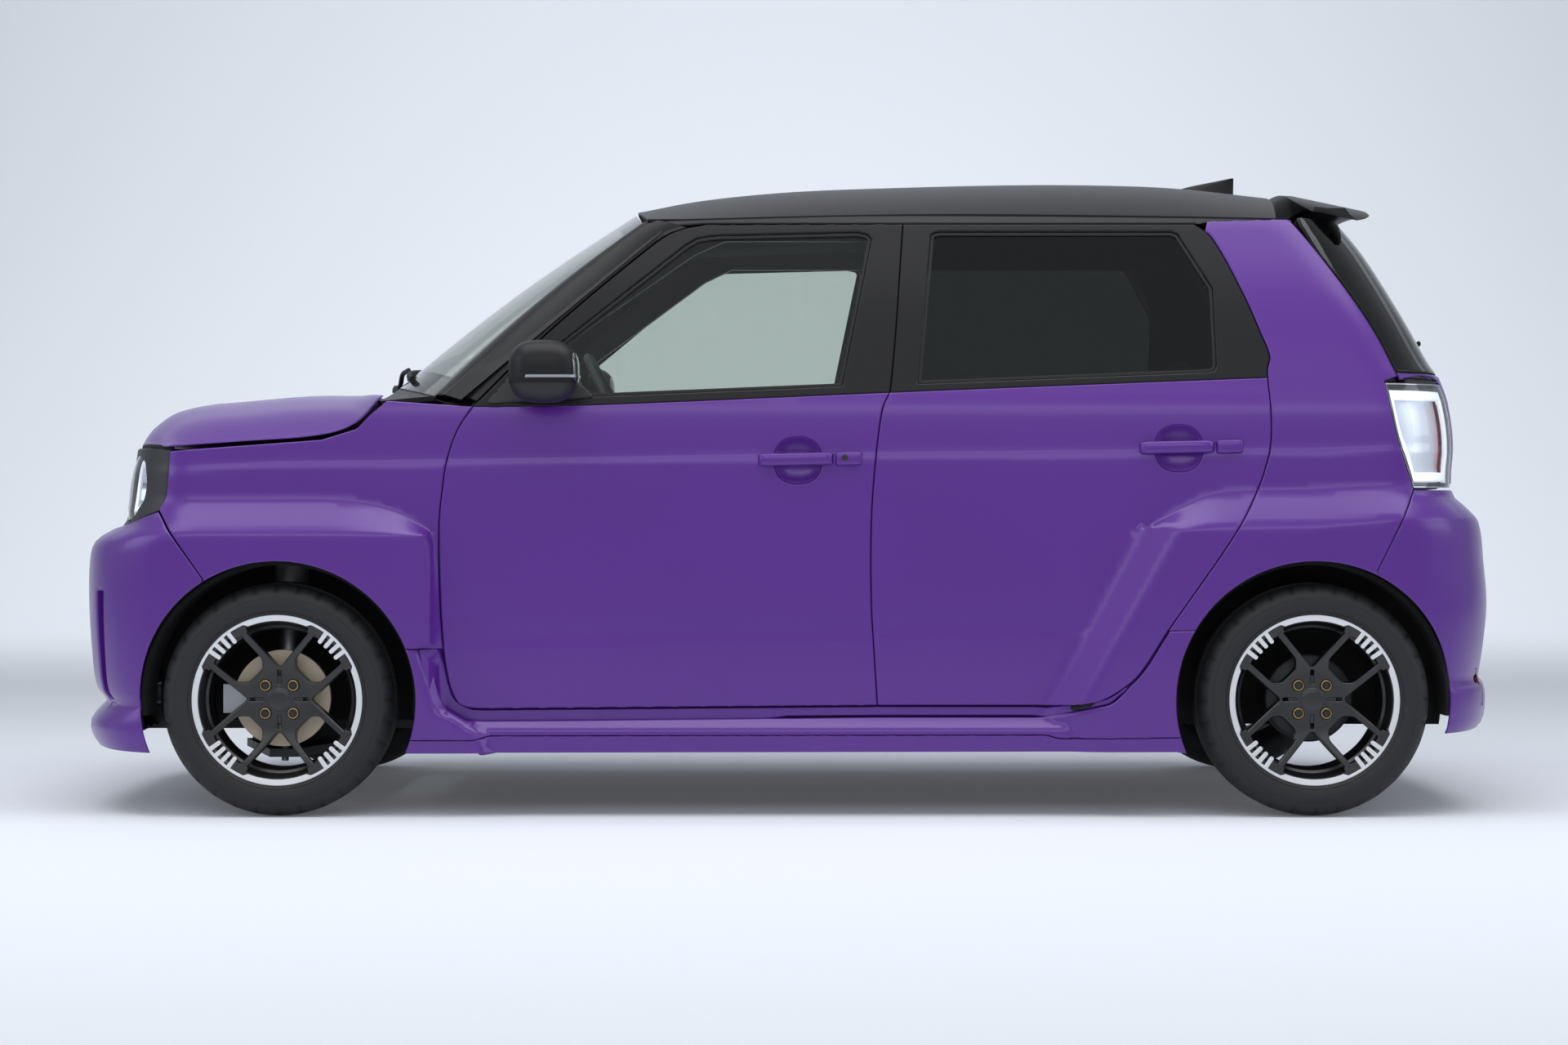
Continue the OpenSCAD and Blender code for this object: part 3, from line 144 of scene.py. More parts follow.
# %% Tables of the skin
SIDE_INSET = [[0, .02], [.15, .014], [.26, .01], [.41, .003], [.55, 0], [.78, 0], [.88, .003], [.95, .0068],
              [.976, .0105], [1, .0185], [1.04, .027], [1.4, .105], [1.72, .198], [1.8, .225]]
NOSE = [[.15, .94], [.18, .985], [.215, .99], [.245, .945], [.262, .91], [.295, .96], [.38, .985], [.52, 1],
        [.627, .99], [.66, .955], [.685, .87], [.7, .826], [.735, .815], [.9, .77]]
TAIL = [[.19, .94], [.22, .985], [.3, .99], [.315, .96], [.34, .965], [.41, .985], [.5, 1], [.6, .985], [.7, .96],
        [.735, .9], [.77, .825], [.9, .83], [1, .805], [1.1, .765], [1.16, .72], [1.365, .596], [1.633, .417],
        [1.767, .3], [1.9, .17]]
NOSE_START = FRONT_AXLE - .29 * FRONT_END
TAIL_REACH = [[.7, .725], [.78, .53]]
FRONT_FLARE_TOP = [[-1, .75], [.03, .757], [.071, .752], [.11, .73], [.141, .69], [.165, .65]]
FRONT_FLARE_END = [[.2, .158], [.41, .1562], [.68, .1505], [.75, .15]]
REAR_FLARE_TOP = [[.8, .64], [.833, .683], [.874, .737], [.903, .768], [.944, .778], [1.479, .792], [2, .8]]
REAR_FLARE_END = [[.15, .716], [.277, .744], [.454, .783], [.683, .833], [.8, .859]]
FRONT_CREASE, REAR_CREASE = [[-1, .6715], [1, .6715]], [[.8, .683], [.833, .683], [1.457, .707], [2, .715]]
FLARE_ROUND, CHAMFER_LEAST, FRONT_RAMP, REAR_RAMP = .045, .006, .02, .09
PLAN_POWER = 3
SHOULDER_LINE = [[-.45, .835], [.2, .852], [.6, .868], [1.42, .886]]
LINE_DEEP, LINE_TALL = .0035, .012
LOW_LINE, LOW_DEEP, LOW_TALL = [[.155, .414], [.6, .44]], .0014, .01
print("skin tables:", len(SIDE_INSET), len(NOSE), len(TAIL), "rows")

# %% Skin functions
def nose_x(z):
    return FRONT_AXLE - FRONT_END * curve(level_of(z), NOSE)

def tail_x(z):
    return REAR_AXLE + REAR_END * curve(level_of(z), TAIL)

def tail_reach(z):
    return REAR_END * curve(level_of(z), TAIL_REACH)

def flares(x, z):
    s, h = station_of(x), level_of(z)
    def chamfer(top, crease):
        top, crease = level(curve(s, top)), level(curve(s, crease))
        return soft_ramp((top - z) / np.maximum(top - crease, CHAMFER_LEAST), FLARE_ROUND)
    front = soft_min(chamfer(FRONT_FLARE_TOP, FRONT_CREASE),
                     soft_ramp((station(curve(h, FRONT_FLARE_END)) - x) / FRONT_RAMP))
    rear = soft_min(chamfer(REAR_FLARE_TOP, REAR_CREASE),
                    soft_ramp((x - station(curve(h, REAR_FLARE_END))) / REAR_RAMP))
    return FLARE_OUT * (np.clip(front, 0, 1) + np.clip(rear, 0, 1))

def half_width(x, z):
    s, swell = station_of(x), flares(x, z)
    line = LINE_DEEP * (soft_ramp((level(curve(s, SHOULDER_LINE)) - z) / LINE_TALL, .2) - 1)
    low = LOW_DEEP * soft_ramp((level(curve(s, LOW_LINE)) - z) / LOW_TALL, .2) * (1 - swell / FLARE_OUT)
    return BODY_HALF * (1 - curve(level_of(z), SIDE_INSET)) + swell + line + low

def close_in(d):
    return (1 - np.clip(d, 0, 1) ** PLAN_POWER) ** (1 / PLAN_POWER)

def skin_y(x, z):
    return (half_width(x, z) * close_in((NOSE_START - x) / (NOSE_START - nose_x(z)))
            * close_in((x - tail_x(z) + tail_reach(z)) / tail_reach(z)))

def side_point(p, q):
    """Left side of the body over side-view coordinates."""
    return np.column_stack([p, -skin_y(p, q), q])

print("body width %.3f m" % (2 * skin_y(np.zeros(1), np.array([.6]))[0]))

# %% Nose and tail of the skin
def wrap_plan(turn):
    """Unit plan curve: turn runs over the half circle, returned as (along the car, across)."""
    c, s = np.cos(turn), np.sin(turn)
    r = (np.abs(c) ** PLAN_POWER + np.abs(s) ** PLAN_POWER) ** (-1 / PLAN_POWER)
    return c * r, s * r

def nose_point(turn, z):
    along, across = wrap_plan(turn)
    return np.column_stack([NOSE_START - along * (NOSE_START - nose_x(z)),
                            across * half_width(NOSE_START + 0 * z, z), z])

def tail_point(turn, z):
    along, across = wrap_plan(turn)
    start = tail_x(z) - tail_reach(z)
    return np.column_stack([start + along * tail_reach(z), across * half_width(start, z), z])

def turn_at_nose(x, z):
    along = np.clip((NOSE_START - x) / (NOSE_START - nose_x(z)), 1e-4, 1)
    across = close_in(along)
    return np.arctan2(across, along)

def turn_at_tail(x, z):
    along = np.clip((x - tail_x(z) + tail_reach(z)) / tail_reach(z), 1e-4, 1)
    return np.arctan2(close_in(along), along)

print("nose at x = %.3f m" % float(nose_x(np.array([.5]))[0]))

# %% Pressed lines
def crease_rows():
    """The pressed lines in side view, each as a row of points, where the nets get closer points."""
    spans = [(FRONT_FLARE_TOP, -.6, .147), (FRONT_CREASE, -.6, .147), (REAR_FLARE_TOP, .835, 1.5),
             (REAR_CREASE, .835, 1.5),
             (SHOULDER_LINE, -.45, 1.42), (LOW_LINE, .155, .6)]
    rows = []
    for table, first, last in spans:
        s = np.linspace(first, last, int((last - first) * WHEELBASE / .009))
        rows.append(np.column_stack([station(s), level(curve(s, table))]))
    return rows

CREASES = crease_rows()
print("pressed lines:", len(CREASES))

# %% [markdown]
# ## Sheets and outlines
# A pressed panel is a thin shell with a folded edge. Each one is laid out flat as an outline, filled
# with a triangle net, lifted on to the skin and given its thickness, so edges stay crisp and the
# shading stays smooth: the normals come from the surface itself.

# %% Outline helpers
STEP = .008

def stroke(rows, step=STEP, smooth=True):
    """Points along rows of [station, level], as a smooth curve or as straight lines."""
    return spline(places(rows), step, smooth)

def spline(pts, step=STEP, smooth=True):
    pts = np.asarray(pts, float)
    run = np.concatenate([[0], np.cumsum(np.linalg.norm(np.diff(pts, axis=0), axis=1))])
    t = np.linspace(0, run[-1], max(2, int(round(run[-1] / step)) + 1))
    if smooth and len(pts) > 2:
        return np.column_stack([curve(t, np.column_stack([run, pts[:, k]])) for k in range(pts.shape[1])])
    return np.column_stack([np.interp(t, run, pts[:, k]) for k in range(pts.shape[1])])

def arc(centre, radius, a0, a1, step=STEP):
    a = np.radians(np.linspace(a0, a1, max(3, int(abs(math.radians(a1 - a0)) * radius / step) + 1)))
    return np.column_stack([centre[0] + radius * np.cos(a), centre[1] + radius * np.sin(a)])

def loop(*parts):
    """One closed outline from strokes laid end to end."""
    pts = np.vstack(parts)
    keep = np.linalg.norm(pts - np.roll(pts, 1, axis=0), axis=1) > 1e-4
    return pts[keep]

def area(poly):
    x, y = poly[:, 0], poly[:, 1]
    return .5 * np.sum(x * np.roll(y, -1) - y * np.roll(x, -1))

def inset(poly, d):
    """Outline moved inwards by d (outwards if negative)."""
    if area(poly) < 0:
        poly = poly[::-1]
    a, b = poly - np.roll(poly, 1, axis=0), np.roll(poly, -1, axis=0) - poly
    na = np.column_stack([-a[:, 1], a[:, 0]]) / np.linalg.norm(a, axis=1)[:, None]
    nb = np.column_stack([-b[:, 1], b[:, 0]]) / np.linalg.norm(b, axis=1)[:, None]
    n = na + nb
    scale = np.sum(n * na, axis=1)
    return poly + n * (d / np.maximum(scale, .5))[:, None]

print("a ring of 0.1 m has %d points" % len(arc((0, 0), .1, 0, 360)))

# %% Points inside an outline or near it
def inside(pts, poly):
    x, y = pts[:, 0][:, None], pts[:, 1][:, None]
    x0, y0 = poly[:, 0][None], poly[:, 1][None]
    x1, y1 = np.roll(poly[:, 0], -1)[None], np.roll(poly[:, 1], -1)[None]
    cross = (y0 > y) != (y1 > y)
    with np.errstate(divide="ignore", invalid="ignore"):
        hit = cross & (x < (x1 - x0) * (y - y0) / (y1 - y0) + x0)
    return hit.sum(axis=1) % 2 == 1

def near_edge(pts, poly, d):
    a, b = poly[None], np.roll(poly, -1, axis=0)[None]
    ab = b - a
    t = np.clip(np.sum((pts[:, None] - a) * ab, axis=2) / np.maximum(np.sum(ab * ab, axis=2), 1e-12), 0, 1)
    return np.min(np.linalg.norm(pts[:, None] - a - t[..., None] * ab, axis=2), axis=1) < d

print("outline test:", inside(np.zeros((1, 2)), arc((0, 0), 1, 0, 350, .1)))

# %% [markdown]
# A pressed or moulded panel has a face, a folded edge and a back. A plane with Solidify and Bevel could
# give that, but its shading breaks at creases, so each sheet is built point by point and carries the
# normals of the surface it lies on. Left pieces are mirrored to the right.

# %% Pieces
def dress(obj, material, body, slot, nodes=()):
    """Gives a piece its finish and its body, and hides the CAD nodes it stands for."""
    obj.data.materials.clear()
    obj.data.materials.append(material)
    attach(obj, body)
    if nodes:
        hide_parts(*nodes)
    return obj

def mesh_object(name, verts, faces, normals=None):
    mesh = bpy.data.meshes.new(name)
    mesh.from_pydata([tuple(v) for v in verts], [], [tuple(int(i) for i in f) for f in faces])
    mesh.polygons.foreach_set("use_smooth", np.ones(len(mesh.polygons), bool))
    if normals is not None:
        mesh.normals_split_custom_set([tuple(n) for n in normals])
    mesh.update()
    obj = bpy.data.objects.new(name, mesh)
    bpy.context.collection.objects.link(obj)
    return obj

def ring_faces(rows, cols, closed_ends=True):
    """Faces between rings of points that lie row after row, with both ends closed or open."""
    ids = [[i * cols + k for k in range(cols)] for i in range(rows)]
    faces = [(a[k], a[(k + 1) % cols], b[(k + 1) % cols], b[k]) for a, b in zip(ids, ids[1:])
             for k in range(cols)]
    return faces + [tuple(ids[0][::-1]), tuple(ids[-1])] if closed_ends else faces

def read_rows(items, key):
    """One vector of every vertex or corner, as rows."""
    values = np.empty(len(items) * 3)
    items.foreach_get(key, values)
    return values.reshape(-1, 3)

def unit_rows(v):
    return v / np.maximum(np.linalg.norm(v, axis=1), 1e-9)[:, None]

def surface_normals(at, p, q, out, d=.0015):
    du = at(p + d, q) - at(p - d, q)
    dv = at(p, q + d) - at(p, q - d)
    n = unit_rows(np.cross(du, dv))
    return n * (1 if np.mean(n @ np.asarray(out, float)) > 0 else -1)

print("a tube of 3 rings of 8 has %d faces" % len(ring_faces(3, 8)))

# %% Net over an outline
CREASE_ROW = .0035

def fill(outline, holes=(), pitch=.016, hem=.004, lines=()):
    """Triangle net over an outline with holes: points and triangles."""
    outline = inset(outline, 0)
    holes = [inset(h, 0) for h in holes]
    rims = [outline] + holes
    hems = [inset(outline, hem)] + [inset(h, -hem) for h in holes]
    low, high = outline.min(axis=0), outline.max(axis=0)
    gx, gy = np.meshgrid(np.arange(low[0], high[0], pitch), np.arange(low[1], high[1], pitch))
    grid = np.column_stack([gx.ravel(), gy.ravel()])
    grid = grid[inside(grid, outline)]
    for line in lines:
        rows = np.vstack([line + [0, CREASE_ROW], line - [0, CREASE_ROW]])
        grid = np.vstack([grid[~near_edge(grid, np.vstack([line, line[::-1]]), CREASE_ROW + pitch * .4)],
                          rows[inside(rows, outline)]])
    for h in holes:
        grid = grid[~inside(grid, h)]
    for r in rims:
        grid = grid[~near_edge(grid, r, hem + pitch * .3)]
    points, edges, count = [], [], 0
    for r in rims + hems:
        points.append(r)
        edges += [(count + i, count + (i + 1) % len(r)) for i in range(len(r))]
        count += len(r)
    pts = np.vstack(points + [grid])
    got = geometry.delaunay_2d_cdt([Vector(p) for p in pts], edges, [], 0, 1e-7)
    out = np.array([tuple(v) for v in got[0]])
    tris = np.array([f for f in got[2] if len(f) == 3])
    mid = out[tris].mean(axis=1)
    keep = inside(mid, outline)
    for h in holes:
        keep &= ~inside(mid, h)
    return out, tris[keep]

print("net of a disc: %d triangles" % len(fill(arc((0, 0), .1, 0, 355))[1]))

# %% Sheets
def sheet(name, at, outline, holes=(), thick=.004, pitch=.016, hem=.004, curl=.0025, deep=0.0, out=(0, -1, 0),
          lines=()):
    """A panel: the outline's net lifted on to the surface at(p, q), hemmed and thickened inwards."""
    flat, tris = fill(outline, holes, pitch, hem, lines)
    p, q = flat[:, 0], flat[:, 1]
    n = surface_normals(at, p, q, out)
    base = at(p, q) - n * deep
    face = np.cross(base[tris[:, 1]] - base[tris[:, 0]], base[tris[:, 2]] - base[tris[:, 0]])
    flip = np.sum(face * n[tris[:, 0]], axis=1) < 0
    tris[flip] = tris[flip][:, ::-1]
    used = np.unique(tris)
    order = -np.ones(len(flat), int)
    order[used] = np.arange(len(used))
    tris, base, n = order[tris], base[used], n[used]
    count = {}
    for a, b, c in tris:
        for e in ((a, b), (b, c), (c, a)):
            count[e] = count.get(e, 0) + 1
    border = [(a, b) for a, b in count if (b, a) not in count]
    outward = np.zeros_like(base)
    for a, b in border:
        side = np.cross(base[b] - base[a], n[a])
        outward[a] += side
        outward[b] += side
    outward = unit_rows(outward)
    edge = np.zeros(len(base), bool)
    edge[[a for a, b in border]] = True
    outer = base - n * (curl * edge)[:, None]
    inner = base - n * thick
    shade = np.where(edge[:, None], unit_rows(n * .6 + outward * .8), n)
    size = len(base)
    faces = [tuple(t) for t in tris] + [(c + size, b + size, a + size) for a, b, c in tris]
    loops = [shade[i] for t in tris for i in t] + [-n[i] for a, b, c in tris for i in (c, b, a)]
    for a, b in border:
        faces.append((b, a, a + size, b + size))
        loops += [outward[b], outward[a], outward[a], outward[b]]
    return mesh_object(name, np.vstack([outer, inner]), faces, loops)

print("sheets ready")

# %% Panels over a grid
def patch(name, at, us, vs, thick=.004, out=(0, 0, 1), deep=0.0, curl=0.0):
    """A panel over a full grid of u and v."""
    u, v = np.meshgrid(us, vs, indexing="ij")
    p, q = u.ravel(), v.ravel()
    d = 1e-4
    n = unit_rows(np.cross(at(p + d, q) - at(p - d, q), at(p, q + d) - at(p, q - d)))
    n *= 1 if np.mean(n @ np.asarray(out, float)) > 0 else -1
    base = at(p, q) - n * deep
    rows, cols = len(us), len(vs)
    ids = np.arange(rows * cols).reshape(rows, cols)
    quads = np.column_stack([ids[:-1, :-1].ravel(), ids[1:, :-1].ravel(), ids[1:, 1:].ravel(),
                             ids[:-1, 1:].ravel()])
    mid = len(quads) // 2
    face = np.cross(base[quads[mid, 1]] - base[quads[mid, 0]], base[quads[mid, 2]] - base[quads[mid, 0]])
    if face @ n[quads[mid, 0]] < 0:
        quads = quads[:, ::-1]
    ring = np.concatenate([ids[0, :], ids[1:, -1], ids[-1, -2::-1], ids[-2:0:-1, 0]])
    edge = np.zeros(rows * cols, bool)
    edge[ring] = True
    size = rows * cols
    outer, inner = base - n * (curl * edge)[:, None], base - n * thick
    faces = [tuple(f) for f in quads] + [tuple(f[::-1] + size) for f in quads]
    loops = [n[i] for f in quads for i in f] + [-n[i] for f in quads for i in f[::-1]]
    centre = base.mean(axis=0)
    for a, b in zip(ring, np.roll(ring, -1)):
        side = np.cross(base[b] - base[a], n[a])
        quad = (a, b, b + size, a + size)
        if side @ (base[a] - centre) > 0:
            quad = quad[::-1]
        side = side if side @ (base[a] - centre) > 0 else -side
        side = side / max(np.linalg.norm(side), 1e-9)
        faces.append(quad)
        loops += [side] * 4
    return mesh_object(name, np.vstack([outer, inner]), faces, loops)

print("grid panels ready")

# %% Left and right twins
def mirrored(obj, name):
    """The right-hand twin of a left-hand piece."""
    mesh = obj.data
    verts = read_rows(mesh.vertices, "co") * [1, -1, 1]
    normals = read_rows(mesh.corner_normals, "vector") * [1, -1, 1]
    faces, loops = [], []
    for poly in mesh.polygons:
        faces.append(list(poly.vertices)[::-1])
        loops += list(normals[poly.loop_start:poly.loop_start + poly.loop_total][::-1])
    return mesh_object(name, verts, faces, loops)

def pair(name, make, material, body, slot, nodes=((), ())):
    """A left piece and its mirrored twin; body and nodes are (left, right)."""
    left = make(name + "_left")
    right = mirrored(left, name + "_right")
    bodies = body if isinstance(body, tuple) else (body, body)
    dress(left, material, bodies[0], slot, nodes[0])
    dress(right, material, bodies[1], slot, nodes[1])
    return left, right

print("twins ready")

# %% [markdown]
# ## Camera, floor and light
# The photograph is a side view from about eight metres, from a little under a metre above the floor.
# The place and lens come from the two wheels' distance in the picture. The floor runs up into a pale
# backdrop, and large soft panels light the car from above and from the camera's side.

# %% Camera
CAMERA_AT = Vector((-.0087, -8.475, .776))
FRAME_W, FRAME_H = 1920, 1279
FOCAL_PX = 3889.8
HORIZON_PX = 609
camera = bpy.data.cameras.new("studio_camera")
camera.sensor_width = 36
camera.lens = FOCAL_PX / FRAME_W * camera.sensor_width
camera.shift_y = (HORIZON_PX - FRAME_H / 2) / FRAME_W
camera.clip_end = 100
camera_object = bpy.data.objects.new("studio_camera", camera)
camera_object.location = CAMERA_AT
camera_object.rotation_euler = (math.pi / 2, 0, 0)
bpy.context.collection.objects.link(camera_object)
bpy.context.scene.camera = camera_object
bpy.context.scene.view_settings.view_transform = "Standard"
print("lens %.1f mm" % camera.lens)

# %% [markdown]
# Materials are small node trees. They could be built by hand, but a script repeats them exactly: one
# function adds a node with its settings and links, and one turns hex colours into linear light.

# %% Node helper and colours
def linear(code):
    """sRGB hex to linear RGBA."""
    parts = [int(code[i:i + 2], 16) / 255 for i in (1, 3, 5)]
    return tuple(c / 12.92 if c <= .04045 else ((c + .055) / 1.055) ** 2.4 for c in parts) + (1.0,)

def add(tree, kind, inputs=None, to=None, out=0, **settings):
    """One node: settings are its properties, inputs its sockets as values or (node, output) links.
    Its output out feeds to, a (node, socket)."""
    node = tree.nodes.new(kind)
    for key, value in settings.items():
        setattr(node, key, value)
    for key, value in (inputs or {}).items():
        if isinstance(value, tuple) and isinstance(value[0], bpy.types.Node):
            tree.links.new(value[0].outputs[value[1]], node.inputs[key])
        else:
            node.inputs[key].default_value = value
    if to:
        tree.links.new(node.outputs[out], to[0].inputs[to[1]])
    return node

def material(name, **sockets):
    """A new material with one Principled shader whose sockets are set directly."""
    mat = bpy.data.materials.new(name)
    mat.use_nodes = True
    tree = mat.node_tree
    tree.nodes.clear()
    shader = add(tree, "ShaderNodeBsdfPrincipled", {k.replace("_", " "): v for k, v in sockets.items()})
    add(tree, "ShaderNodeOutputMaterial", {"Surface": (shader, 0)})
    mat.diffuse_color = sockets.get("Base_Color", (.5, .5, .5, 1))
    return mat, tree, shader

def per_metre(size_mm):
    """Texture scale that gives a pattern of about this size."""
    return 1000.0 / size_mm

print("white is", linear("#ffffff"))

# %% [markdown]
# A photographer's sweep is a roll of paper that runs from the floor up the wall without a corner. Two
# planes would show a line where they meet, so one curved sheet is made.

# %% Floor and backdrop
FLOOR_DROP = .0005

def studio_floor():
    """Floor that sweeps up into a backdrop, one curved sheet."""
    back, rise, radius, wide, front = 18.0, 16.0, 8.0, 40.0, -40.0
    profile = [(front, 0.0), (back - radius, 0.0)]
    profile += [(back - radius + radius * math.sin(a), radius - radius * math.cos(a))
                for a in np.linspace(.05, math.pi / 2, 24)]
    profile += [(back, rise)]
    verts = [(x, y, z - FLOOR_DROP) for y, z in profile for x in (-wide, wide)]
    faces = [(2 * i, 2 * i + 1, 2 * i + 3, 2 * i + 2) for i in range(len(profile) - 1)]
    return mesh_object("studio_floor", verts, faces)

PAPER, PAPER_MM = linear("#e9edf4"), 1000 / 1.5
# Matt paper: no highlight, faint clouds of tone, and a little light of its own for the light that scatters.
paper, tree, shader = material("paper_backdrop_matt", Roughness=.9, Base_Color=PAPER, Specular_IOR_Level=.1,
                               Emission_Color=PAPER, Emission_Strength=.08)
noise = add(tree, "ShaderNodeTexNoise", {"Scale": per_metre(PAPER_MM), "Detail": 2.0})
add(tree, "ShaderNodeMix", {"Factor": (noise, 0), 6: linear("#e6ebf3"), 7: linear("#ecf0f6")},
    to=(shader, "Base Color"), out=2, data_type="RGBA")
floor = studio_floor()
floor.data.materials.append(paper)
floor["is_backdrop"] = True
print("floor of", len(floor.data.polygons), "strips")

# %% [markdown]
# Soft boxes are large lamps behind white cloth. Area lamps stand for them, and the one overhead draws the
# long highlights. The air past the paper is brighter to the camera, in mirrors and through glass than it
# is as light, so the glass has something pale to show and the shadows stay.

# %% Lamps and air
def soft_panel(name, at, aim, wide, tall, power, colour="#ffffff"):
    light = bpy.data.lights.new(name, "AREA")
    light.shape, light.size, light.size_y = "RECTANGLE", wide, tall
    light.energy, light.color = power, linear(colour)[:3]
    obj = bpy.data.objects.new(name, light)
    obj.location = at
    obj.rotation_euler = (Vector(aim) - Vector(at)).to_track_quat("-Z", "Y").to_euler()
    bpy.context.collection.objects.link(obj)

soft_panel("overhead_panel", (0, -1.3, 4.6), (0, -.4, 0), 7.5, 3.8, 225)
soft_panel("camera_side_panel", (-.5, -6.5, 3.2), (0, 0, .8), 8.0, 1.7, 68)
soft_panel("nose_panel", (-6.5, -2.5, 3.0), (0, 0, .8), 4.0, 3.0, 60, "#f2f6ff")
soft_panel("tail_panel", (6.5, -2.5, 3.0), (0, 0, .8), 4.0, 3.0, 55, "#f2f6ff")
soft_panel("backdrop_panel", (0, 8.0, 7.5), (0, 18.0, 3.0), 12.0, 2.0, 560)
soft_panel("floor_panel", (0, 9.0, 6.5), (0, 10.0, 0), 26.0, 5.0, 190)
world = bpy.data.worlds.new("studio_air")
world.use_nodes = True
sky = world.node_tree
AIR, AIR_STRENGTH, FAR_STRENGTH = linear("#e2e8f2"), .26, .6
ray = add(sky, "ShaderNodeLightPath")
mirrored_air = add(sky, "ShaderNodeMath", {0: (ray, "Is Glossy Ray"), 1: (ray, "Is Transmission Ray")},
                   operation="MAXIMUM")
seen_air = add(sky, "ShaderNodeMath", {0: (ray, "Is Camera Ray"), 1: (mirrored_air, 0)}, operation="MAXIMUM")
add(sky, "ShaderNodeMapRange", {"Value": (seen_air, 0), "To Min": AIR_STRENGTH, "To Max": FAR_STRENGTH},
    to=(sky.nodes["Background"], "Strength"))
sky.nodes["Background"].inputs["Color"].default_value = AIR
bpy.context.scene.world = world
print("lamps:", len(bpy.data.lights))

# %% [markdown]
# ## Finishes
# Each finish starts from the real material: satin paint has a soft broad highlight and fine flake;
# moulded plastic has a grain; rubber is nearly black and rough; glass is clear or privacy-tinted.

# %% Paint and plastic
def grained(name, code, rough, size_mm, depth_mm, strength, gloss=None, **sockets):
    """A finish with a fine grain; gloss is the range that its roughness takes over the grain."""
    mat, tree, shader = material(name, Base_Color=linear(code), Roughness=rough, **sockets)
    place = add(tree, "ShaderNodeTexCoord"), "Object"
    noise = add(tree, "ShaderNodeTexNoise", {"Scale": per_metre(size_mm), "Detail": 3.0, "Vector": place})
    add(tree, "ShaderNodeBump", {"Strength": strength, "Distance": depth_mm / 1000, "Height": (noise, 0)},
        to=(shader, "Normal"))
    if gloss:
        add(tree, "ShaderNodeMapRange", {"Value": (noise, 0), "To Min": gloss[0], "To Max": gloss[1]},
            to=(shader, "Roughness"))
    return mat

FLAKE_MM, CLOUD_MM, FLAKE_DEEP = 1.6, 420, .0002

def satin_paint(name, code, dark, light, metal, rough, coat=.35, coat_rough=.32, shine=.5):
    """Satin clear-coated paint: colour flake a few millimetres wide so that it shows, and a soft gloss."""
    mat, tree, shader = material(name, Base_Color=linear(code), Metallic=metal, Roughness=rough,
                                 Coat_Weight=coat, Coat_Roughness=coat_rough, Specular_IOR_Level=shine)
    place = add(tree, "ShaderNodeTexCoord"), "Object"
    flake = add(tree, "ShaderNodeTexNoise", {"Scale": per_metre(FLAKE_MM), "Detail": 1.0, "Vector": place})
    cloud = add(tree, "ShaderNodeTexNoise", {"Scale": per_metre(CLOUD_MM), "Detail": 2.0, "Vector": place})
    both = add(tree, "ShaderNodeMath", {0: (flake, 0), 1: (cloud, 0)}, operation="ADD")
    half = add(tree, "ShaderNodeMath", {0: (both, 0), 1: .5}, operation="MULTIPLY")
    add(tree, "ShaderNodeMix", {"Factor": (half, 0), 6: linear(dark), 7: linear(light)},
        to=(shader, "Base Color"), out=2, data_type="RGBA")
    add(tree, "ShaderNodeBump", {"Strength": .04, "Distance": FLAKE_DEEP, "Height": (flake, 0)},
        to=(shader, "Normal"))
    return mat

# Satin paint: a broad soft highlight, deep colour, and fine flake that breaks it up close by.
PURPLE = satin_paint("satin_purple_paint_sprayed", "#551e89", "#511a84", "#5b2391", .1, .36, .62, .24, .35)
# Satin black: dark grey under light, with an edge of sheen instead of a mirror.
BLACK = satin_paint("satin_black_paint_sprayed", "#121214", "#101012", "#151518", 0.0, .44, .08, .32, .24)
# Moulded trim: black with a fine grain that scatters the light.
TRIM = grained("black_polypropylene_moulded", "#17181a", .5, .9, .06, .4, (.42, .56))
# Lamp panel: a coarse pebbled grain, drawn wider than it is so that it shows.
GRAIN = grained("charcoal_abs_coarse_grain", "#222427", .45, 2.4, .5, .9, (.3, .55))
# Seals: nearly black and without gloss, so that gaps read as dark lines.
SEAL = grained("epdm_rubber_extruded", "#0e0e0f", .75, 1.2, .05, .3)
# Felt: it swallows the light, so the arches stay dark.
LINER = grained("wheel_arch_felt_pressed", "#0d0d0e", .95, 4.0, .5, .6)
# Cabin plastic: matt charcoal with a leather-like grain.
CABIN = grained("charcoal_cabin_plastic_moulded", "#1c1d1f", .62, 1.1, .08, .5)
# Cloth: matt with a faint sheen at the edges; threads are drawn 2 mm wide so that they show.
CLOTH = grained("charcoal_seat_cloth_woven", "#1b1c1f", .9, 2.0, .4, .8, Sheen_Weight=.25)
# Tyres: dark grey, dull on the wall and a little shinier where the mould was smooth.
RUBBER = grained("tyre_rubber_moulded", "#131416", .62, 1.4, .08, .4, (.55, .7))
print("paints and plastics ready")

# %% [markdown]
# Metals mirror the room more or less sharply by how they were worked: cast, turned, ground or plated. One
# metal with different roughness would do for all, but colour and grain tell them apart.

# %% Metals
# Dip-painted steel: dark with a dull gleam.
STEEL = grained("chassis_steel_e_coated", "#2b2c2e", .5, 3.0, .1, .3, Metallic=.3)
# Sand-cast aluminium: pale, rough and evenly grained.
CAST = grained("aluminium_sand_cast", "#9a9c9f", .42, 1.6, .15, .5, Metallic=1.0)
# Powder coat: black with a soft rim of light along each spoke.
ALLOY = satin_paint("satin_black_alloy_powder_coated", "#101113", "#0d0e10", "#141518", 0.0, .36)
# Turned face: a blurred mirror that picks up the pale floor and the lamps.
BRIGHT = grained("alloy_diamond_turned", "#e2e3e5", .34, .8, .02, .2, Metallic=.5)
# Ground iron: warm and pale, with a dull gleam.
DISC = grained("cast_iron_ground", "#d2c4ab", .5, 1.0, .03, .3, Metallic=.1)
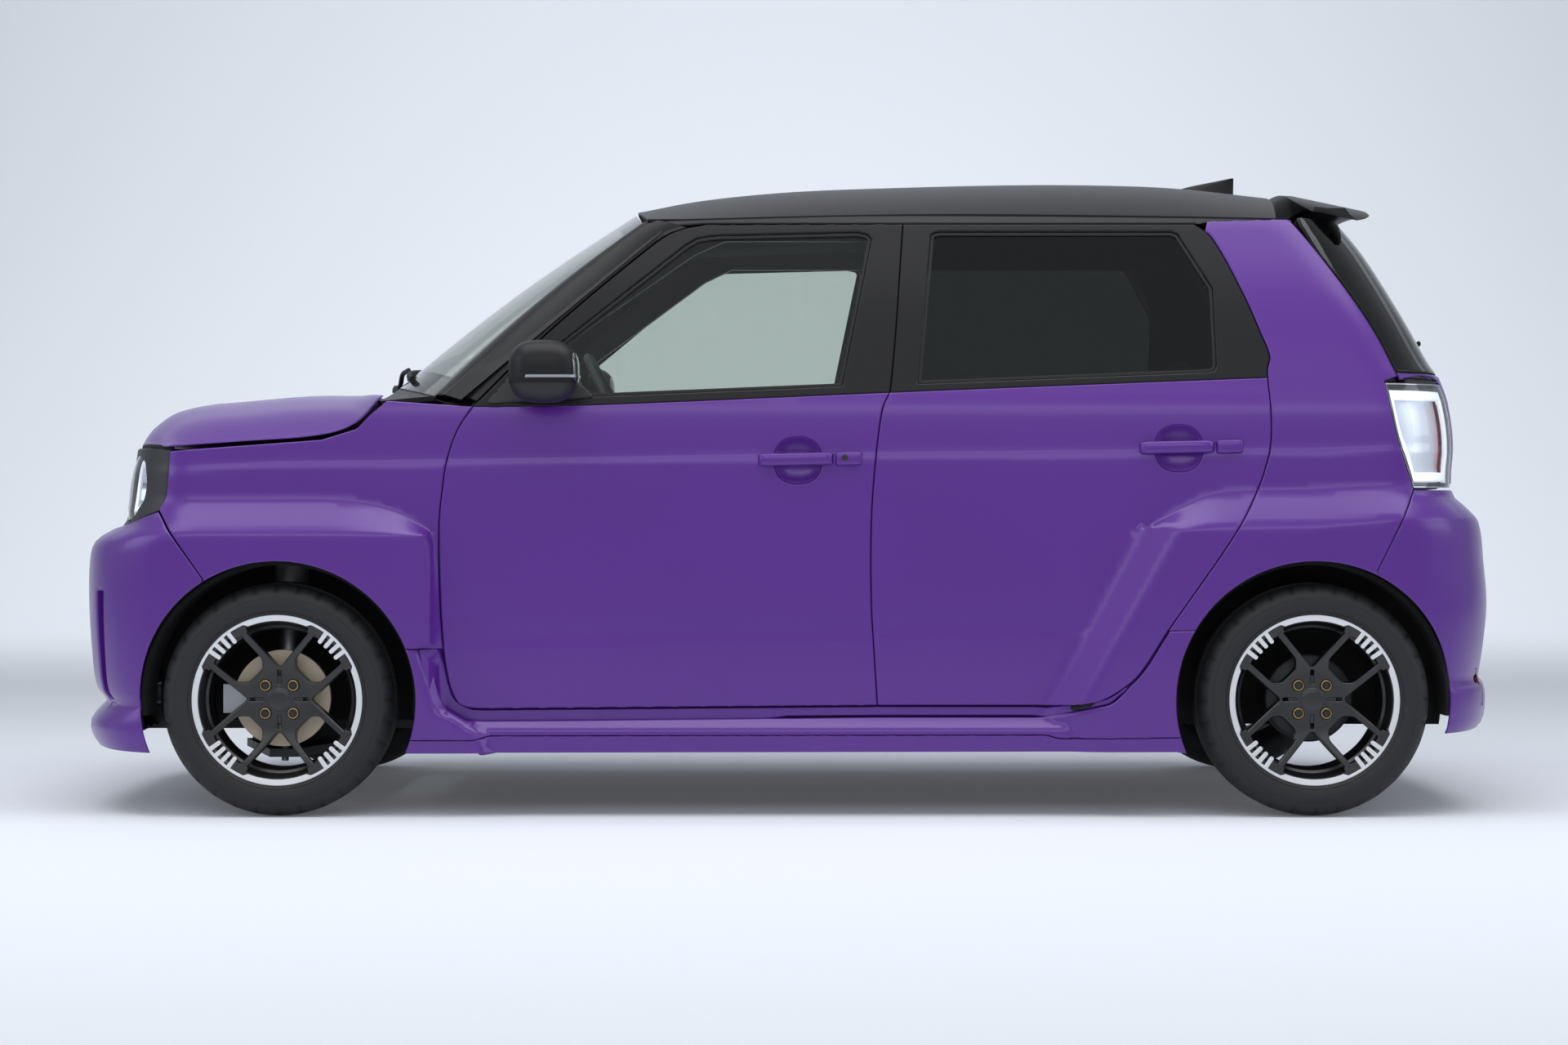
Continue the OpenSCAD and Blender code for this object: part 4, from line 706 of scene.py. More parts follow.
# Passivated zinc: a dull yellow gold on the bolt seats.
GOLD = grained("zinc_yellow_passivated", "#a8905a", .35, 1.0, .02, .2, Metallic=1.0)
# Plated plastic: a nearly clean mirror.
CHROME = grained("plastic_chrome_plated", "#cfd1d4", .12, 6.0, .01, .1, Metallic=1.0)
print("metals ready")

# %% [markdown]
# Panes are thin, so they tint and mirror but don't bend what is behind them; a full refracting block would
# need two exact faces and many more light paths. Lamps are clear or red plastic over bright reflectors.

# %% Glass and lamp finishes
WAVE_MM, WAVE_DEEP = 700, .0005

def glass(name, code, rough=0.0):
    """A thin pane: it tints what is behind it without bending it, and its coat mirrors the studio softly."""
    mat, tree, shader = material(name, Base_Color=linear(code), Roughness=rough, IOR=1.02, Coat_Weight=.8,
                                 Transmission_Weight=1.0, Coat_IOR=1.5, Coat_Roughness=.01)
    place = add(tree, "ShaderNodeTexCoord"), "Object"
    wave = add(tree, "ShaderNodeTexNoise", {"Scale": per_metre(WAVE_MM), "Detail": 0.0, "Vector": place})
    add(tree, "ShaderNodeBump", {"Strength": .02, "Distance": WAVE_DEEP, "Height": (wave, 0)},
        to=(shader, "Normal"))
    return mat

# Laminated glass: clear with a faint green.
CLEAR = glass("laminated_glass_float", "#d8dfd8")
# Privacy glass: a grey that hides half of what is behind it.
PRIVACY = glass("privacy_glass_body_tinted", "#575c59")
# Lamp cover: clear plastic, a little softer than glass.
LENS = glass("polycarbonate_lens_moulded", "#f2f5f8", .02)
# Red plastic: deep red, lit from within where a bright part is behind it.
RED = glass("red_acrylic_moulded", "#b01218", .05)
# Reflector: a bright soft metal that fills the lamp.
SILVER = grained("lamp_reflector_aluminised", "#dfe2e8", .3, 5.0, .3, .4, Metallic=.35)
# Light guide: frosted white with a little light of its own.
LED = grained("led_light_guide_frosted", "#eef1f8", .35, 2.0, .05, .2, Emission_Color=linear("#f4f7ff"),
              Emission_Strength=.5)
print("materials:", len(bpy.data.materials))

# %% [markdown]
# ## Side panels
# Doors, fenders, quarters and sill covers are steel pressings that share one surface and are parted
# by shut lines a few millimetres wide. Their outlines are drawn in side view as strokes through a
# few measured points, with arcs round the wheels, so that neighbours share the same stroke.

# %% Shut lines of the doors
SHUT, SEAM = .0022, .0006
DOOR_FRONT = [[.2, .256], [.186, .257], [.174, .267], [.165, .312], [.159, .402], [.155, .589], [.155, .7],
              [.158, .778], [.163, .856], [.173, .925], [.189, .985]]
SASH_FRONT = [[.189, .985], [.26, 1.281], [.36, 1.655], [.382, 1.714], [.41, 1.742]]
PILLAR_LINE = [[.606, 1.746], [.592, 1.043], [.584, .973], [.577, .843], [.573, .7], [.573, .513], [.576, .38],
               [.579, .264]]
DOOR_REAR = [[.893, 1.746], [.91, 1.682], [.937, 1.448], [.954, 1.263], [.961, 1.174], [.958, 1.115], [.96, .973],
             [.96, .899], [.957, .856], [.946, .777], [.917, .654], [.858, .445], [.829, .337],
             [.805, .291], [.785, .272], [.741, .264]]
BELT_LINE = [[.15, .977], [.183, .978], [.298, .982], [.59, 1.022], [.91, 1.077], [1.0, 1.09]]

def split_at_line(outline, line, keep_below=True):
    """The part of an outline below (or above) a line of side-view points."""
    height = np.interp(outline[:, 0], line[:, 0], line[:, 1])
    gap = (outline[:, 1] - height) * (1 if keep_below else -1)
    result, count = [], len(outline)
    for i in range(count):
        j = (i + 1) % count
        if gap[i] <= 0:
            result.append(outline[i])
        if (gap[i] <= 0) != (gap[j] <= 0):
            t = gap[i] / (gap[i] - gap[j])
            hit = outline[i] + (outline[j] - outline[i]) * t
            result.append(hit)
    result = np.array(result)
    first = np.argmax(np.linalg.norm(np.roll(result, -1, axis=0) - result, axis=1))
    a, b = result[first], result[(first + 1) % len(result)]
    xs = np.linspace(a[0], b[0], max(3, int(abs(b[0] - a[0]) / .012)))[1:-1]
    cut = np.column_stack([xs, np.interp(xs, line[:, 0], line[:, 1])])
    return np.vstack([result[:first + 1], cut, result[first + 1:]])

pillar_line = stroke(PILLAR_LINE)
sash_line = stroke(SASH_FRONT)
front_door = loop(stroke(DOOR_FRONT), sash_line, stroke([[.41, 1.742], [.606, 1.746]]), pillar_line,
                  stroke([[.579, .264], [.2, .256]]))
rear_door = loop(pillar_line[::-1], stroke([[.606, 1.746], [.893, 1.746]]), stroke(DOOR_REAR),
                 stroke([[.741, .264], [.579, .264]]))
belt_line = stroke(BELT_LINE)
front_door_cut, rear_door_cut = inset(front_door, SHUT / 2), inset(rear_door, SHUT / 2)
print("door outlines:", len(front_door), len(rear_door), "points")

# %% [markdown]
# A door skin is one pressing, folded round the door's edge, with a cup behind the handle. It could be cut
# from one body shell, but a sheet of its own can swing and shows its folded edge when it is open.

# %% Handles' places and cups
def side_sheet(outline, holes=(), **options):
    return lambda name: sheet(name, side_point, outline, holes, **options)

FRONT_DOORS, REAR_DOORS = ("door_front_left", "door_front_right"), ("door_rear_left", "door_rear_right")
HANDLES = [(.502, .8495), (.8706, .8785)]
CUP_LONG, CUP_TALL, DOOR_T = .0575, .0575, .01

def oval(at, long, tall, power=2.4):
    a = np.linspace(0, 2 * math.pi, 40, endpoint=False)
    c, s = np.cos(a), np.sin(a)
    return np.column_stack([at[0] + long * np.sign(c) * np.abs(c) ** (2 / power),
                            at[1] + tall * np.sign(s) * np.abs(s) ** (2 / power)])

print("door bodies:", FRONT_DOORS + REAR_DOORS)

# %% Press the door skins
handle_at = [np.array([station(s), level(h)]) for s, h in HANDLES]
cups = [oval(h, CUP_LONG, CUP_TALL) for h in handle_at]
SKINS = [("front_door_skin", front_door_cut, cups[0], FRONT_DOORS, (("door_fl",), ("door_fr",))),
         ("rear_door_skin", rear_door_cut, cups[1], REAR_DOORS, (("door_rl",), ("door_rr",)))]
for name, outline, cup, bodies, nodes in SKINS:
    below = split_at_line(outline, belt_line)
    pair(name, side_sheet(below, [cup], thick=DOOR_T, lines=CREASES), PURPLE, bodies, "purple_paint", nodes)
print("door skins made")

# %% [markdown]
# Above the belt each door has a black sash round its glass. The sash is one sheet with a window
# hole, a little proud of the glass, and a rubber run seals the glass to it.

# %% Sashes, glass runs and glass
window_front = loop(stroke([[.262, 1.1], [.277, 1.012], [.285, 1.004], [.31, 1.006], [.545, 1.048]],
                           smooth=False),
                    stroke([[.545, 1.048], [.575, 1.68], [.571, 1.7], [.561, 1.71]], smooth=False),
                    stroke([[.561, 1.71], [.42, 1.695], [.403, 1.683], [.392, 1.655]], smooth=False),
                    stroke([[.392, 1.655], [.26, 1.195]], smooth=False))
window_rear = loop(stroke([[.618, 1.058], [.9, 1.107], [.907, 1.115], [.909, 1.14]], smooth=False),
                   stroke([[.909, 1.14], [.908, 1.466], [.876, 1.702], [.87, 1.712]], smooth=False),
                   stroke([[.87, 1.712], [.64, 1.712], [.633, 1.7], [.618, 1.058]], smooth=False))

GLASS_DEEP, GLASS_T, GLASS_IN, GLASS_CURL = .009, .004, .004, .0004
SASH_T, FIT, RUN_WIDE, RUN_T, RUN_DEEP, RUN_ROUND = .012, .0005, .009, .01, .004, .002
for outline, hole, bodies, glass_nodes, tint, slot, name in (
        (front_door_cut, window_front, FRONT_DOORS, (("glass_fl",), ("glass_fr",)), CLEAR, "clear_glass",
         "front"),
        (rear_door_cut, window_rear, REAR_DOORS, (("glass_rl",), ("glass_rr",)), PRIVACY, "tint_glass", "rear")):
    above = split_at_line(outline, belt_line, keep_below=False)
    pair(name + "_door_sash", side_sheet(above, [hole], thick=SASH_T), BLACK, bodies, "black_paint")
    run = inset(hole, RUN_WIDE)
    pair(name + "_glass_run", side_sheet(inset(hole, FIT), [run], thick=RUN_T, deep=RUN_DEEP, hem=RUN_ROUND,
            curl=RUN_ROUND), SEAL, bodies, "black_plastic")
    pair(name + "_door_glass", side_sheet(inset(hole, GLASS_IN), thick=GLASS_T, deep=GLASS_DEEP, curl=GLASS_CURL),
         tint, bodies, slot, glass_nodes)
print("sashes and glass made")

# %% [markdown]
# Behind the skin each door is a box: a painted inner pressing that the seal closes on, with a
# moulded card over it. They show through the glass and when the door swings open, so both are
# sheets inset from the door's own outline.

# %% Door inners and cards
INNER_STEP, INNER_DEEP, INNER_THICK, INNER_LIP, HIDDEN_PITCH = .031, .0195, .0465, .008, .03
CARD_STEP, CARD_DROP, CARD_T, CARD_DEEP = .012, .012, .006, .0665
for outline, hole, bodies, name in ((front_door, window_front, FRONT_DOORS, "front"),
                                    (rear_door, window_rear, REAR_DOORS, "rear")):
    shell = inset(outline, INNER_STEP)
    pair(name + "_door_inner", side_sheet(shell, [inset(hole, -INNER_LIP)], thick=INNER_THICK, deep=INNER_DEEP,
            pitch=HIDDEN_PITCH), BLACK, bodies, "black_paint")
    card = split_at_line(inset(shell, CARD_STEP), belt_line - [0, CARD_DROP])
    pair(name + "_door_card", side_sheet(card, thick=CARD_T, deep=CARD_DEEP, pitch=HIDDEN_PITCH), CABIN, bodies,
         "interior")
print("door inners made")

# %% [markdown]
# The fender runs from the lamp panel over the front wheel to the door, and the quarter from the rear door
# to the lamps. A boolean cut of the whole side would leave ragged edges, so the outlines reuse the door's
# shut line and the wheel's arc, and the gaps stay even.

# %% Fenders
FENDER_TOP = [[.104, .993], [.0885, .96], [.075, .925], [.041, .899], [-.163, .885], [-.491, .872]]
FENDER_NOSE = [[-.493, .868], [-.506, .769], [-.538, .734]]
BUMPER_SEAM = [[-.538, .734], [-.321, .568]]
FENDER_LOW, QUARTER_LOW, FENDER_ARC, QUARTER_ARC, PANEL_T = .4, .4445, 121, 63.6, .006
front_hub, rear_hub = (FRONT_AXLE, TYRE_R), (REAR_AXLE, TYRE_R)

def rise(height):
    """Angle on the wheel arch at which it reaches this height, in degrees."""
    return math.degrees(math.asin((height - TYRE_R) / ARCH_R))

def between(line, low, high):
    return line[(line[:, 1] > low) & (line[:, 1] < high)]

def at_height(line, z):
    order = np.argsort(line[:, 1])
    return np.array([[np.interp(z, line[order, 1], line[order, 0]), z]])

door_front_gap = inset(front_door, -SHUT / 2)
lead = door_front_gap[door_front_gap[:, 0] < float(station(.21))]
lead = lead[np.argsort(lead[:, 1])]
fender_low = level(FENDER_LOW)
fender = loop(arc(front_hub, ARCH_R, FENDER_ARC, rise(fender_low)), at_height(lead, fender_low),
              between(lead, fender_low, level(.978)),
              stroke([[.187, .979], [.15, .985], [.104, .993]]), stroke(FENDER_TOP, smooth=False),
              stroke(FENDER_NOSE), stroke(BUMPER_SEAM, smooth=False))
pair("fender", side_sheet(fender, thick=PANEL_T, lines=CREASES), PURPLE, "shell", "purple_paint",
     (("front_fenders",), ()))
print("fenders made")

# %% Quarters
TAIL_EDGE = [[1.419, 1.092], [1.327, 1.268], [1.208, 1.441], [1.057, 1.632], [.989, 1.756], [.984, 1.766]]
LAMP_EDGE = [[1.485, .782], [1.408, .9], [1.352, 1.073]]
door_rear_gap = inset(rear_door, -SHUT / 2)
trail = door_rear_gap[door_rear_gap[:, 0] > float(station(.8))]
trail = trail[np.argsort(-trail[:, 1])]
upright = trail[trail[:, 0] > float(station(.8955))]
quarter_low = level(QUARTER_LOW)
quarter = loop(arc(rear_hub, ARCH_R, 180 - rise(quarter_low), QUARTER_ARC),
               stroke([[1.291, .588], [1.485, .782]], smooth=False),
               stroke(LAMP_EDGE), stroke([[1.352, 1.073], [1.419, 1.092]], smooth=False), stroke(TAIL_EDGE),
               stroke([[.984, 1.766], [.906, 1.756]], smooth=False),
               between(np.vstack([upright[upright[:, 1] > .7], trail[trail[:, 1] <= .7]]), quarter_low,
                       level(1.72)),
               at_height(trail, quarter_low))
pair("quarter", side_sheet(quarter, thick=PANEL_T, lines=CREASES), PURPLE, "shell", "purple_paint",
     (("quarters",), ()))
print("quarters made")

# %% [markdown]
# The sill is seen as a rounded strip under the doors. Over its lower part sits the sill cover, a
# moulded rail that swells into both flares; a fine seam parts its lip from the rail.

# %% Surface of the sill cover
SKIRT_BOTTOM, STRIP, SILL_DEEP, SILL_T, LIP_SEAM = .152, .024, .007, .03, .0008
TAPER_TOP, TAPER_TALL, TAPER_LEAST = .33, .06, .12
SILL_LAP, LAP_RUN = .03, .2    # how far the strip runs on behind the sill cover, in the front half
RAIL_OUT, RAIL_TOP, RAIL_CHAMFER = .026, .24, .028
FRONT_BLEND = [[.155, -.69], [.205, -.715], [.238, -.764], [.261, -.806], [.337, -.838], [.414, -.866]]
REAR_BLEND, BLEND_FRONT, BLEND_REAR = .637, .045, .105

def skirt_point(p, q):
    """Sill cover: the plain side with a rail, swelling into the flares at both ends."""
    plain = BODY_HALF * (1 - curve(level_of(q), SIDE_INSET))
    front = FLARE_OUT * soft_ramp((curve(q, FRONT_BLEND) - p) / BLEND_FRONT, .12)
    rear = FLARE_OUT * soft_ramp((p - REAR_BLEND) / BLEND_REAR, .12)
    rail = RAIL_OUT * soft_ramp((RAIL_TOP - q) / RAIL_CHAMFER, .12)
    return np.column_stack([p, -plain - np.maximum(np.maximum(front, rear), rail), q])

print("sill cover bottom at %.3f m" % float(level(SKIRT_BOTTOM)))

# %% Lay out the sill
low = float(level(SKIRT_BOTTOM))
fender_edge, quarter_edge = fender_low - SEAM, quarter_low - SEAM
ahead = between(lead, level(.27), fender_edge)[::-1]
behind = between(trail, level(.2655), quarter_edge)[::-1]
bottom_gap = stroke([[.186, .2545], [.2, .2535], [.579, .2615], [.741, .2615]], smooth=False)
under = np.vstack([at_height(lead, fender_edge), ahead, bottom_gap, behind, at_height(trail, quarter_edge)])
beside = unit_rows(np.gradient(under, axis=0)) @ np.array([[0, -1], [1, 0]])
taper = np.clip((TAPER_TOP - under[:, 1]) / TAPER_TALL, 0, 1) * (under[:, 0] > 0) + (under[:, 0] <= 0)
over = under + beside * (STRIP * np.maximum(taper, TAPER_LEAST))[:, None]
over[0, 1], over[-1, 1] = fender_edge, quarter_edge
lapped = over + beside * (SILL_LAP * np.clip(-under[:, 0] / LAP_RUN, 0, 1))[:, None]
lapped[0, 1] = fender_edge
sill = loop(under, lapped[::-1])
pair("sill_strip", side_sheet(sill, thick=SILL_T, deep=SILL_DEEP, hem=.006, curl=.005), PURPLE, "shell",
     "purple_paint")
LIP_LINE = np.array([[-.93, .187], [-.762, .187], [-.725, .197], [.63, .199], [.66, .19], [.96, .194]])
skirt = loop(arc(front_hub, ARCH_R, rise(low), rise(fender_edge)), over + beside * .0012,
             arc(rear_hub, ARCH_R, 180 - rise(quarter_edge), 180 - rise(low)),
             stroke([[.866, .1557], [.138, .1522]], smooth=False))
rail_sheet = lambda outline, **options: (lambda name: sheet(name, skirt_point, outline, **options))
pair("side_skirt", rail_sheet(split_at_line(skirt, LIP_LINE + [0, LIP_SEAM], keep_below=False), thick=SILL_T,
                              curl=.003), PURPLE, "shell", "purple_paint", (("side_skirts",), ()))
pair("side_skirt_lip", rail_sheet(split_at_line(skirt, LIP_LINE - [0, LIP_SEAM]), thick=SILL_T, deep=.0015),
     PURPLE, "shell", "purple_paint")
print("sill strips and sill covers made")

# %% [markdown]
# A hollow rubber seal runs round each door opening and makes the gaps look black. A tube along the edge
# could stand for it; a flat ring cut from the door's own outline fills the gap all round.

# %% Seals round the door openings
SEAL_OUT, SEAL_IN, SEAL_T, SEAL_DEEP, SEAL_HEM = .01, .02, .008, .0165, .003
for outline, name in ((front_door, "front"), (rear_door, "rear")):
    pair(name + "_opening_seal", side_sheet(inset(outline, -SEAL_OUT), [inset(outline, SEAL_IN)], thick=SEAL_T,
            deep=SEAL_DEEP, hem=SEAL_HEM), SEAL, "shell", "black_plastic")
print("door seals made")

# %% [markdown]
# ## Nose
# The bumper is one moulded cover that wraps the whole nose, so it is laid out over the turn round the
# nose and the height. A grained black panel carries two round lamps between bumper and bonnet.

# %% Layout of the wrapped panels
WRAP = .7    # metres of layout per radian of turn
LAYOUT_STEP = .012

def nose_at(p, q):
    return nose_point(p / WRAP, q)

def tail_at(p, q):
    return tail_point(p / WRAP, q)

def on_nose(side_pts):
    return np.column_stack([-WRAP * turn_at_nose(side_pts[:, 0], side_pts[:, 1]), side_pts[:, 1]])

def on_tail(side_pts):
    return np.column_stack([-WRAP * turn_at_tail(side_pts[:, 0], side_pts[:, 1]), side_pts[:, 1]])

def across_turn(y, z, start):
    """Layout place of a point at this distance from the middle of the car."""
    share = np.clip(np.abs(y) / half_width(start, z), 0, 1)
    return WRAP * np.sign(y) * np.arctan2(share, np.maximum(close_in(share), 1e-4))

def nose_sheet(name, outline, holes=(), **options):
    return sheet(name, nose_at, outline, holes, out=FORWARD, **options)

def tail_sheet(name, outline, holes=(), **options):
    return sheet(name, tail_at, outline, holes, out=BACKWARD, **options)

print("nose corner lies at %.3f m of layout" % float(across_turn(-.6, .5, NOSE_START)))

# %% Closed outlines
def both_halves(half):
    """A closed outline from its left half, drawn from the middle round to the middle."""
    return loop(half, (half * [-1, 1])[::-1])

def rounded(corners, radius, step=.006):
    """A closed outline with rounded corners."""
    corners = np.asarray(corners, float)
    result = []
    for i, c in enumerate(corners):
        a, b = corners[i - 1] - c, corners[(i + 1) % len(corners)] - c
        la, lb = np.linalg.norm(a), np.linalg.norm(b)
        r = min(radius, la * .45, lb * .45)
        p0, p1 = c + a / la * r, c + b / lb * r
        t = np.linspace(0, 1, 6)[:, None]
        result.append((1 - t) ** 2 * p0 + 2 * t * (1 - t) * c + t ** 2 * p1)
    pts = np.vstack(result)
    return np.vstack([spline(np.array([pts[i], pts[(i + 1) % len(pts)]]), step)[:-1] for i in range(len(pts))])

print("a rounded square has %d points" % len(rounded([[0, 0], [.1, 0], [.1, .1], [0, .1]], .02)))

# %% [markdown]
# The cover is one moulding with an intake and two upright slots in it. Holes cut with booleans would lose
# the smooth shading, so they are holes in the flat layout, and each gets a rim and a recessed back.

# %% Front bumper
BUMPER_TOP = [[-.54, .7275], [-.7, .6985], [-.79, .689]]
BUMPER_LOW, BUMPER_ARC, COVER_T = .152, 122.3, .005
top_side = on_nose(stroke(BUMPER_TOP, smooth=False))
top_mid = spline(np.array([[0, level(.689)], top_side[-1]]), LAYOUT_STEP)
seam_side = on_nose(stroke([[-.54, .7275], [-.3235, .567]], smooth=False))
arch_side = on_nose(arc(front_hub, ARCH_R, BUMPER_ARC, 180 - rise(level(BUMPER_LOW))))
low_side = spline(np.array([arch_side[-1], [0, level(BUMPER_LOW)]]), LAYOUT_STEP)
bumper = both_halves(loop(top_mid, top_side[::-1], seam_side, arch_side, low_side))
print("bumper outline: %d points" % len(bumper))

# %% Intake, slots and slats
INTAKE = [[-.3, .285], [.3, .285], [.33, .405], [-.33, .405]]
RECESS_LAP, RECESS_T, RECESS_DEEP = .004, .003, .028
RIM_LAP, RIM_WIDE, RIM_T, RIM_HEM = .001, .005, .026, .0015
SLOT = [[.548, .272], [.6, .272], [.613, .553], [.552, .553]]
intake = rounded(INTAKE, .03)
slots = [rounded(np.array(SLOT) * [side, 1], .012) for side in (LEFT, RIGHT)]
level_row = lambda h: np.column_stack([np.linspace(-1.09, 1.09, 260), np.full(260, level(h))])
piece = nose_sheet("front_bumper_cover", bumper, [intake] + slots, thick=COVER_T,
                   lines=[level_row(FRONT_CREASE[0][1])])
dress(piece, PURPLE, "shell", "purple_paint", ["front_bumper"])
for name, hole in (("lower_intake", intake), ("air_slot_left", slots[0]), ("air_slot_right", slots[1])):
    back = nose_sheet(name + "_recess", inset(hole, -RECESS_LAP), thick=RECESS_T, deep=RECESS_DEEP)
    dress(back, SEAL if name == "lower_intake" else PURPLE, "shell", "black_plastic")
    rim = nose_sheet(name + "_rim", inset(hole, -RIM_LAP), [inset(hole, RIM_WIDE)], thick=RIM_T, deep=RIM_LAP,
                     hem=RIM_HEM)
    dress(rim, TRIM if name == "lower_intake" else PURPLE, "shell", "black_plastic")
for k, z in enumerate((.318, .345, .372)):
    outline = rounded([[-.31, z - .005], [.31, z - .005], [.315, z + .005], [-.315, z + .005]], .003)
    slat = nose_sheet("intake_slat_%d" % k, outline, thick=.018, deep=.008, hem=RIM_HEM)
    dress(slat, TRIM, "shell", "black_plastic")
print("front bumper made")

# %% [markdown]
# Between bumper and bonnet runs a coarse-grained panel with a round lamp in each end, and a rubber lip
# seals it to the bonnet. The panel uses the bumper's layout, so its edges stay parallel to the bumper's.

# %% Lamp panel
PANEL_TOP, PANEL_CROWN, PANEL_DEEP, MOULDING_T = .8745, .881, .004, .008
LAMP_Y, LAMP_Z = .79 * BODY_HALF, middle("headlamps").z
LAMP_R = (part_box("headlamps")[1][2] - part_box("headlamps")[0][2]) / 2
panel_side = on_nose(stroke([[-.4945, PANEL_TOP], [-.509, .769], [-.543, .7315]]))
panel_low = on_nose(stroke([[-.543, .7315], [-.7, .7015], [-.79, .6915]], smooth=False))
panel_top = spline(np.array([[0, level(PANEL_CROWN)], [-.3, level(PANEL_CROWN)], [-.62, level(PANEL_CROWN)],
                             panel_side[0]]), LAYOUT_STEP, False)
panel_mid = spline(np.array([panel_low[-1], [0, level(.6915)]]), LAYOUT_STEP)
panel = both_halves(loop(panel_top, panel_side, panel_low, panel_mid))

def lamp_ring(radius, side):
    a = np.linspace(0, 2 * math.pi, 64, endpoint=False)
    y, z = side * LAMP_Y + radius * np.cos(a), LAMP_Z + radius * np.sin(a)
    return np.column_stack([across_turn(y, z, NOSE_START), z])

seal_half = spline(np.array([[0, level(PANEL_CROWN)], [-.62, level(PANEL_CROWN)], panel_side[0]]), LAYOUT_STEP,
                   False)
nose_seal = both_halves(loop(seal_half + [0, .0115], (seal_half - [0, .012])[::-1]))
dress(nose_sheet("bonnet_front_seal", nose_seal, thick=SEAL_T, deep=.014, hem=SEAL_HEM), SEAL, "shell",
      "black_plastic")
lamp_holes = [lamp_ring(LAMP_R + .001, side) for side in (LEFT, RIGHT)]
piece = nose_sheet("lamp_panel_moulding", panel, lamp_holes, thick=MOULDING_T, deep=PANEL_DEEP)
dress(piece, GRAIN, "shell", "black_plastic", ["lamp_panel"])
print("lamp panel made")

# %% [markdown]
# Lamp pieces, caps, bolts and tyres are round. Blender's Screw modifier could turn a profile, but here
# the round pieces also have to follow the nose, so a function places each point.

# %% Turned pieces
def front_x(y, z):
    share = np.clip(np.abs(y) / half_width(NOSE_START, z), 0, 1)
    return NOSE_START - close_in(share) * (NOSE_START - nose_x(z)) + PANEL_DEEP

SHARP_EDGE = math.radians(38)

def turned(name, rows, around, segments=64, closed=False):
    """A turned piece: rows of (radius, depth) taken round; around(radius, angle, depth) places a point."""
    rows = np.asarray(rows, float)
    a = np.linspace(0, 2 * math.pi, segments, endpoint=False)
    verts = np.vstack([around(np.full(segments, r), a, d) for r, d in rows])
    count = len(rows)
    faces = []
    for i in range(count if closed else count - 1):
        j = (i + 1) % count
        for k in range(segments):
            m = (k + 1) % segments
            faces.append((i * segments + k, i * segments + m, j * segments + m, j * segments + k))
    return tidy(mesh_object(name, verts, faces))

def tidy(obj):
    """Joins double points and turns all faces outwards."""
    work = bmesh.new()
    work.from_mesh(obj.data)
    bmesh.ops.remove_doubles(work, verts=work.verts, dist=1e-6)
    bmesh.ops.recalc_face_normals(work, faces=work.faces)
    work.to_mesh(obj.data)
    work.free()
    obj.data.set_sharp_from_angle(angle=SHARP_EDGE)
    return obj

print("turning tools ready")

# %% [markdown]
# A headlamp is a domed clear lens over a bright bowl, with a ring of light and a projector in the middle.
# Each is turned by itself, so that the depth between them shows.

# %% Headlamps
def on_lamp(r, a, depth):
    y, z = -LAMP_Y + r * np.cos(a), LAMP_Z + r * np.sin(a)
    return np.column_stack([front_x(y, z) + depth, y, z])

TIGHT = .0008
lens_rows = [(r, -.011 * (1 - (r / LAMP_R) ** 2)) for r in np.linspace(.0005, LAMP_R - TIGHT, 12)]
lens_back = [(r, d + .0025) for r, d in lens_rows[::-1]]
pair("headlamp_lens", lambda n: turned(n, lens_rows + lens_back, on_lamp, closed=True), LENS, "shell", "lamp",
     (("headlamps",), ()))
bezel = [(LAMP_R - .001, .004), (LAMP_R - .006, .006), (LAMP_R - .009, .016), (LAMP_R - .001, .016)]
pair("headlamp_bezel", lambda n: turned(n, bezel, on_lamp, closed=True), TRIM, "shell", "black_plastic")
bowl = [(LAMP_R - .009, .015), (.07, .02), (.062, .034), (.044, .05), (.033, .054), (.032, .058),
        (.0005, .058), (.0005, .06), (.046, .056), (.066, .038), (LAMP_R - .006, .022)]
pair("headlamp_bowl", lambda n: turned(n, bowl, on_lamp, closed=True), CHROME, "shell", "lamp")
ring = [(.069 + .004 * math.cos(t), .016 + .004 * math.sin(t))
        for t in np.linspace(0, 2 * math.pi, 12, endpoint=False)]
pair("headlamp_light_ring", lambda n: turned(n, ring, on_lamp, closed=True), LED, "shell", "lamp")
projector = [(r, .03 + .022 * (r / .031) ** 2) for r in np.linspace(.0005, .031, 8)]
projector += [(.031, .058), (.0005, .058)]
pair("headlamp_projector", lambda n: turned(n, projector, on_lamp, closed=True), LENS, "shell", "lamp")
print("headlamps made")

# %% [markdown]
# ## Bonnet, windscreen, pillars and roof
# These are lofts between a crown line and an edge line, as in the CAD source. Each is a fine grid
# with the surface's own normals, so the soft studio light runs over it without facets.

# %% Lofted surfaces
def mix(a, b, t):
    return a + (b - a) * t

BONNET_CROWN = [[0, .893], [.05, .935], [.16, .98], [.42, 1.008], [.75, 1.035], [1, 1.03]]
BONNET_EDGE = [[0, .886], [.35, .898], [.72, .914], [.88, .944], [1, 1.012]]
BONNET_FRONT, BONNET_REAR, BONNET_POWER = (-.775, -.505), (.07, .1), 4

def bonnet_at(u, w):
    e = np.abs(w) ** BONNET_POWER
    edge_x = mix(station(BONNET_FRONT[1]), station(BONNET_REAR[1]), u)
    x = mix(mix(station(BONNET_FRONT[0]), station(BONNET_REAR[0]), u), edge_x, np.abs(w) ** PLAN_POWER)
    edge, crown = level(curve(u, BONNET_EDGE)), level(curve(u, BONNET_CROWN))
    return np.column_stack([x, w * skin_y(edge_x, edge), mix(crown, edge, e)])

print("bonnet %.3f m long" % float(station(BONNET_REAR[0]) - station(BONNET_FRONT[0])))

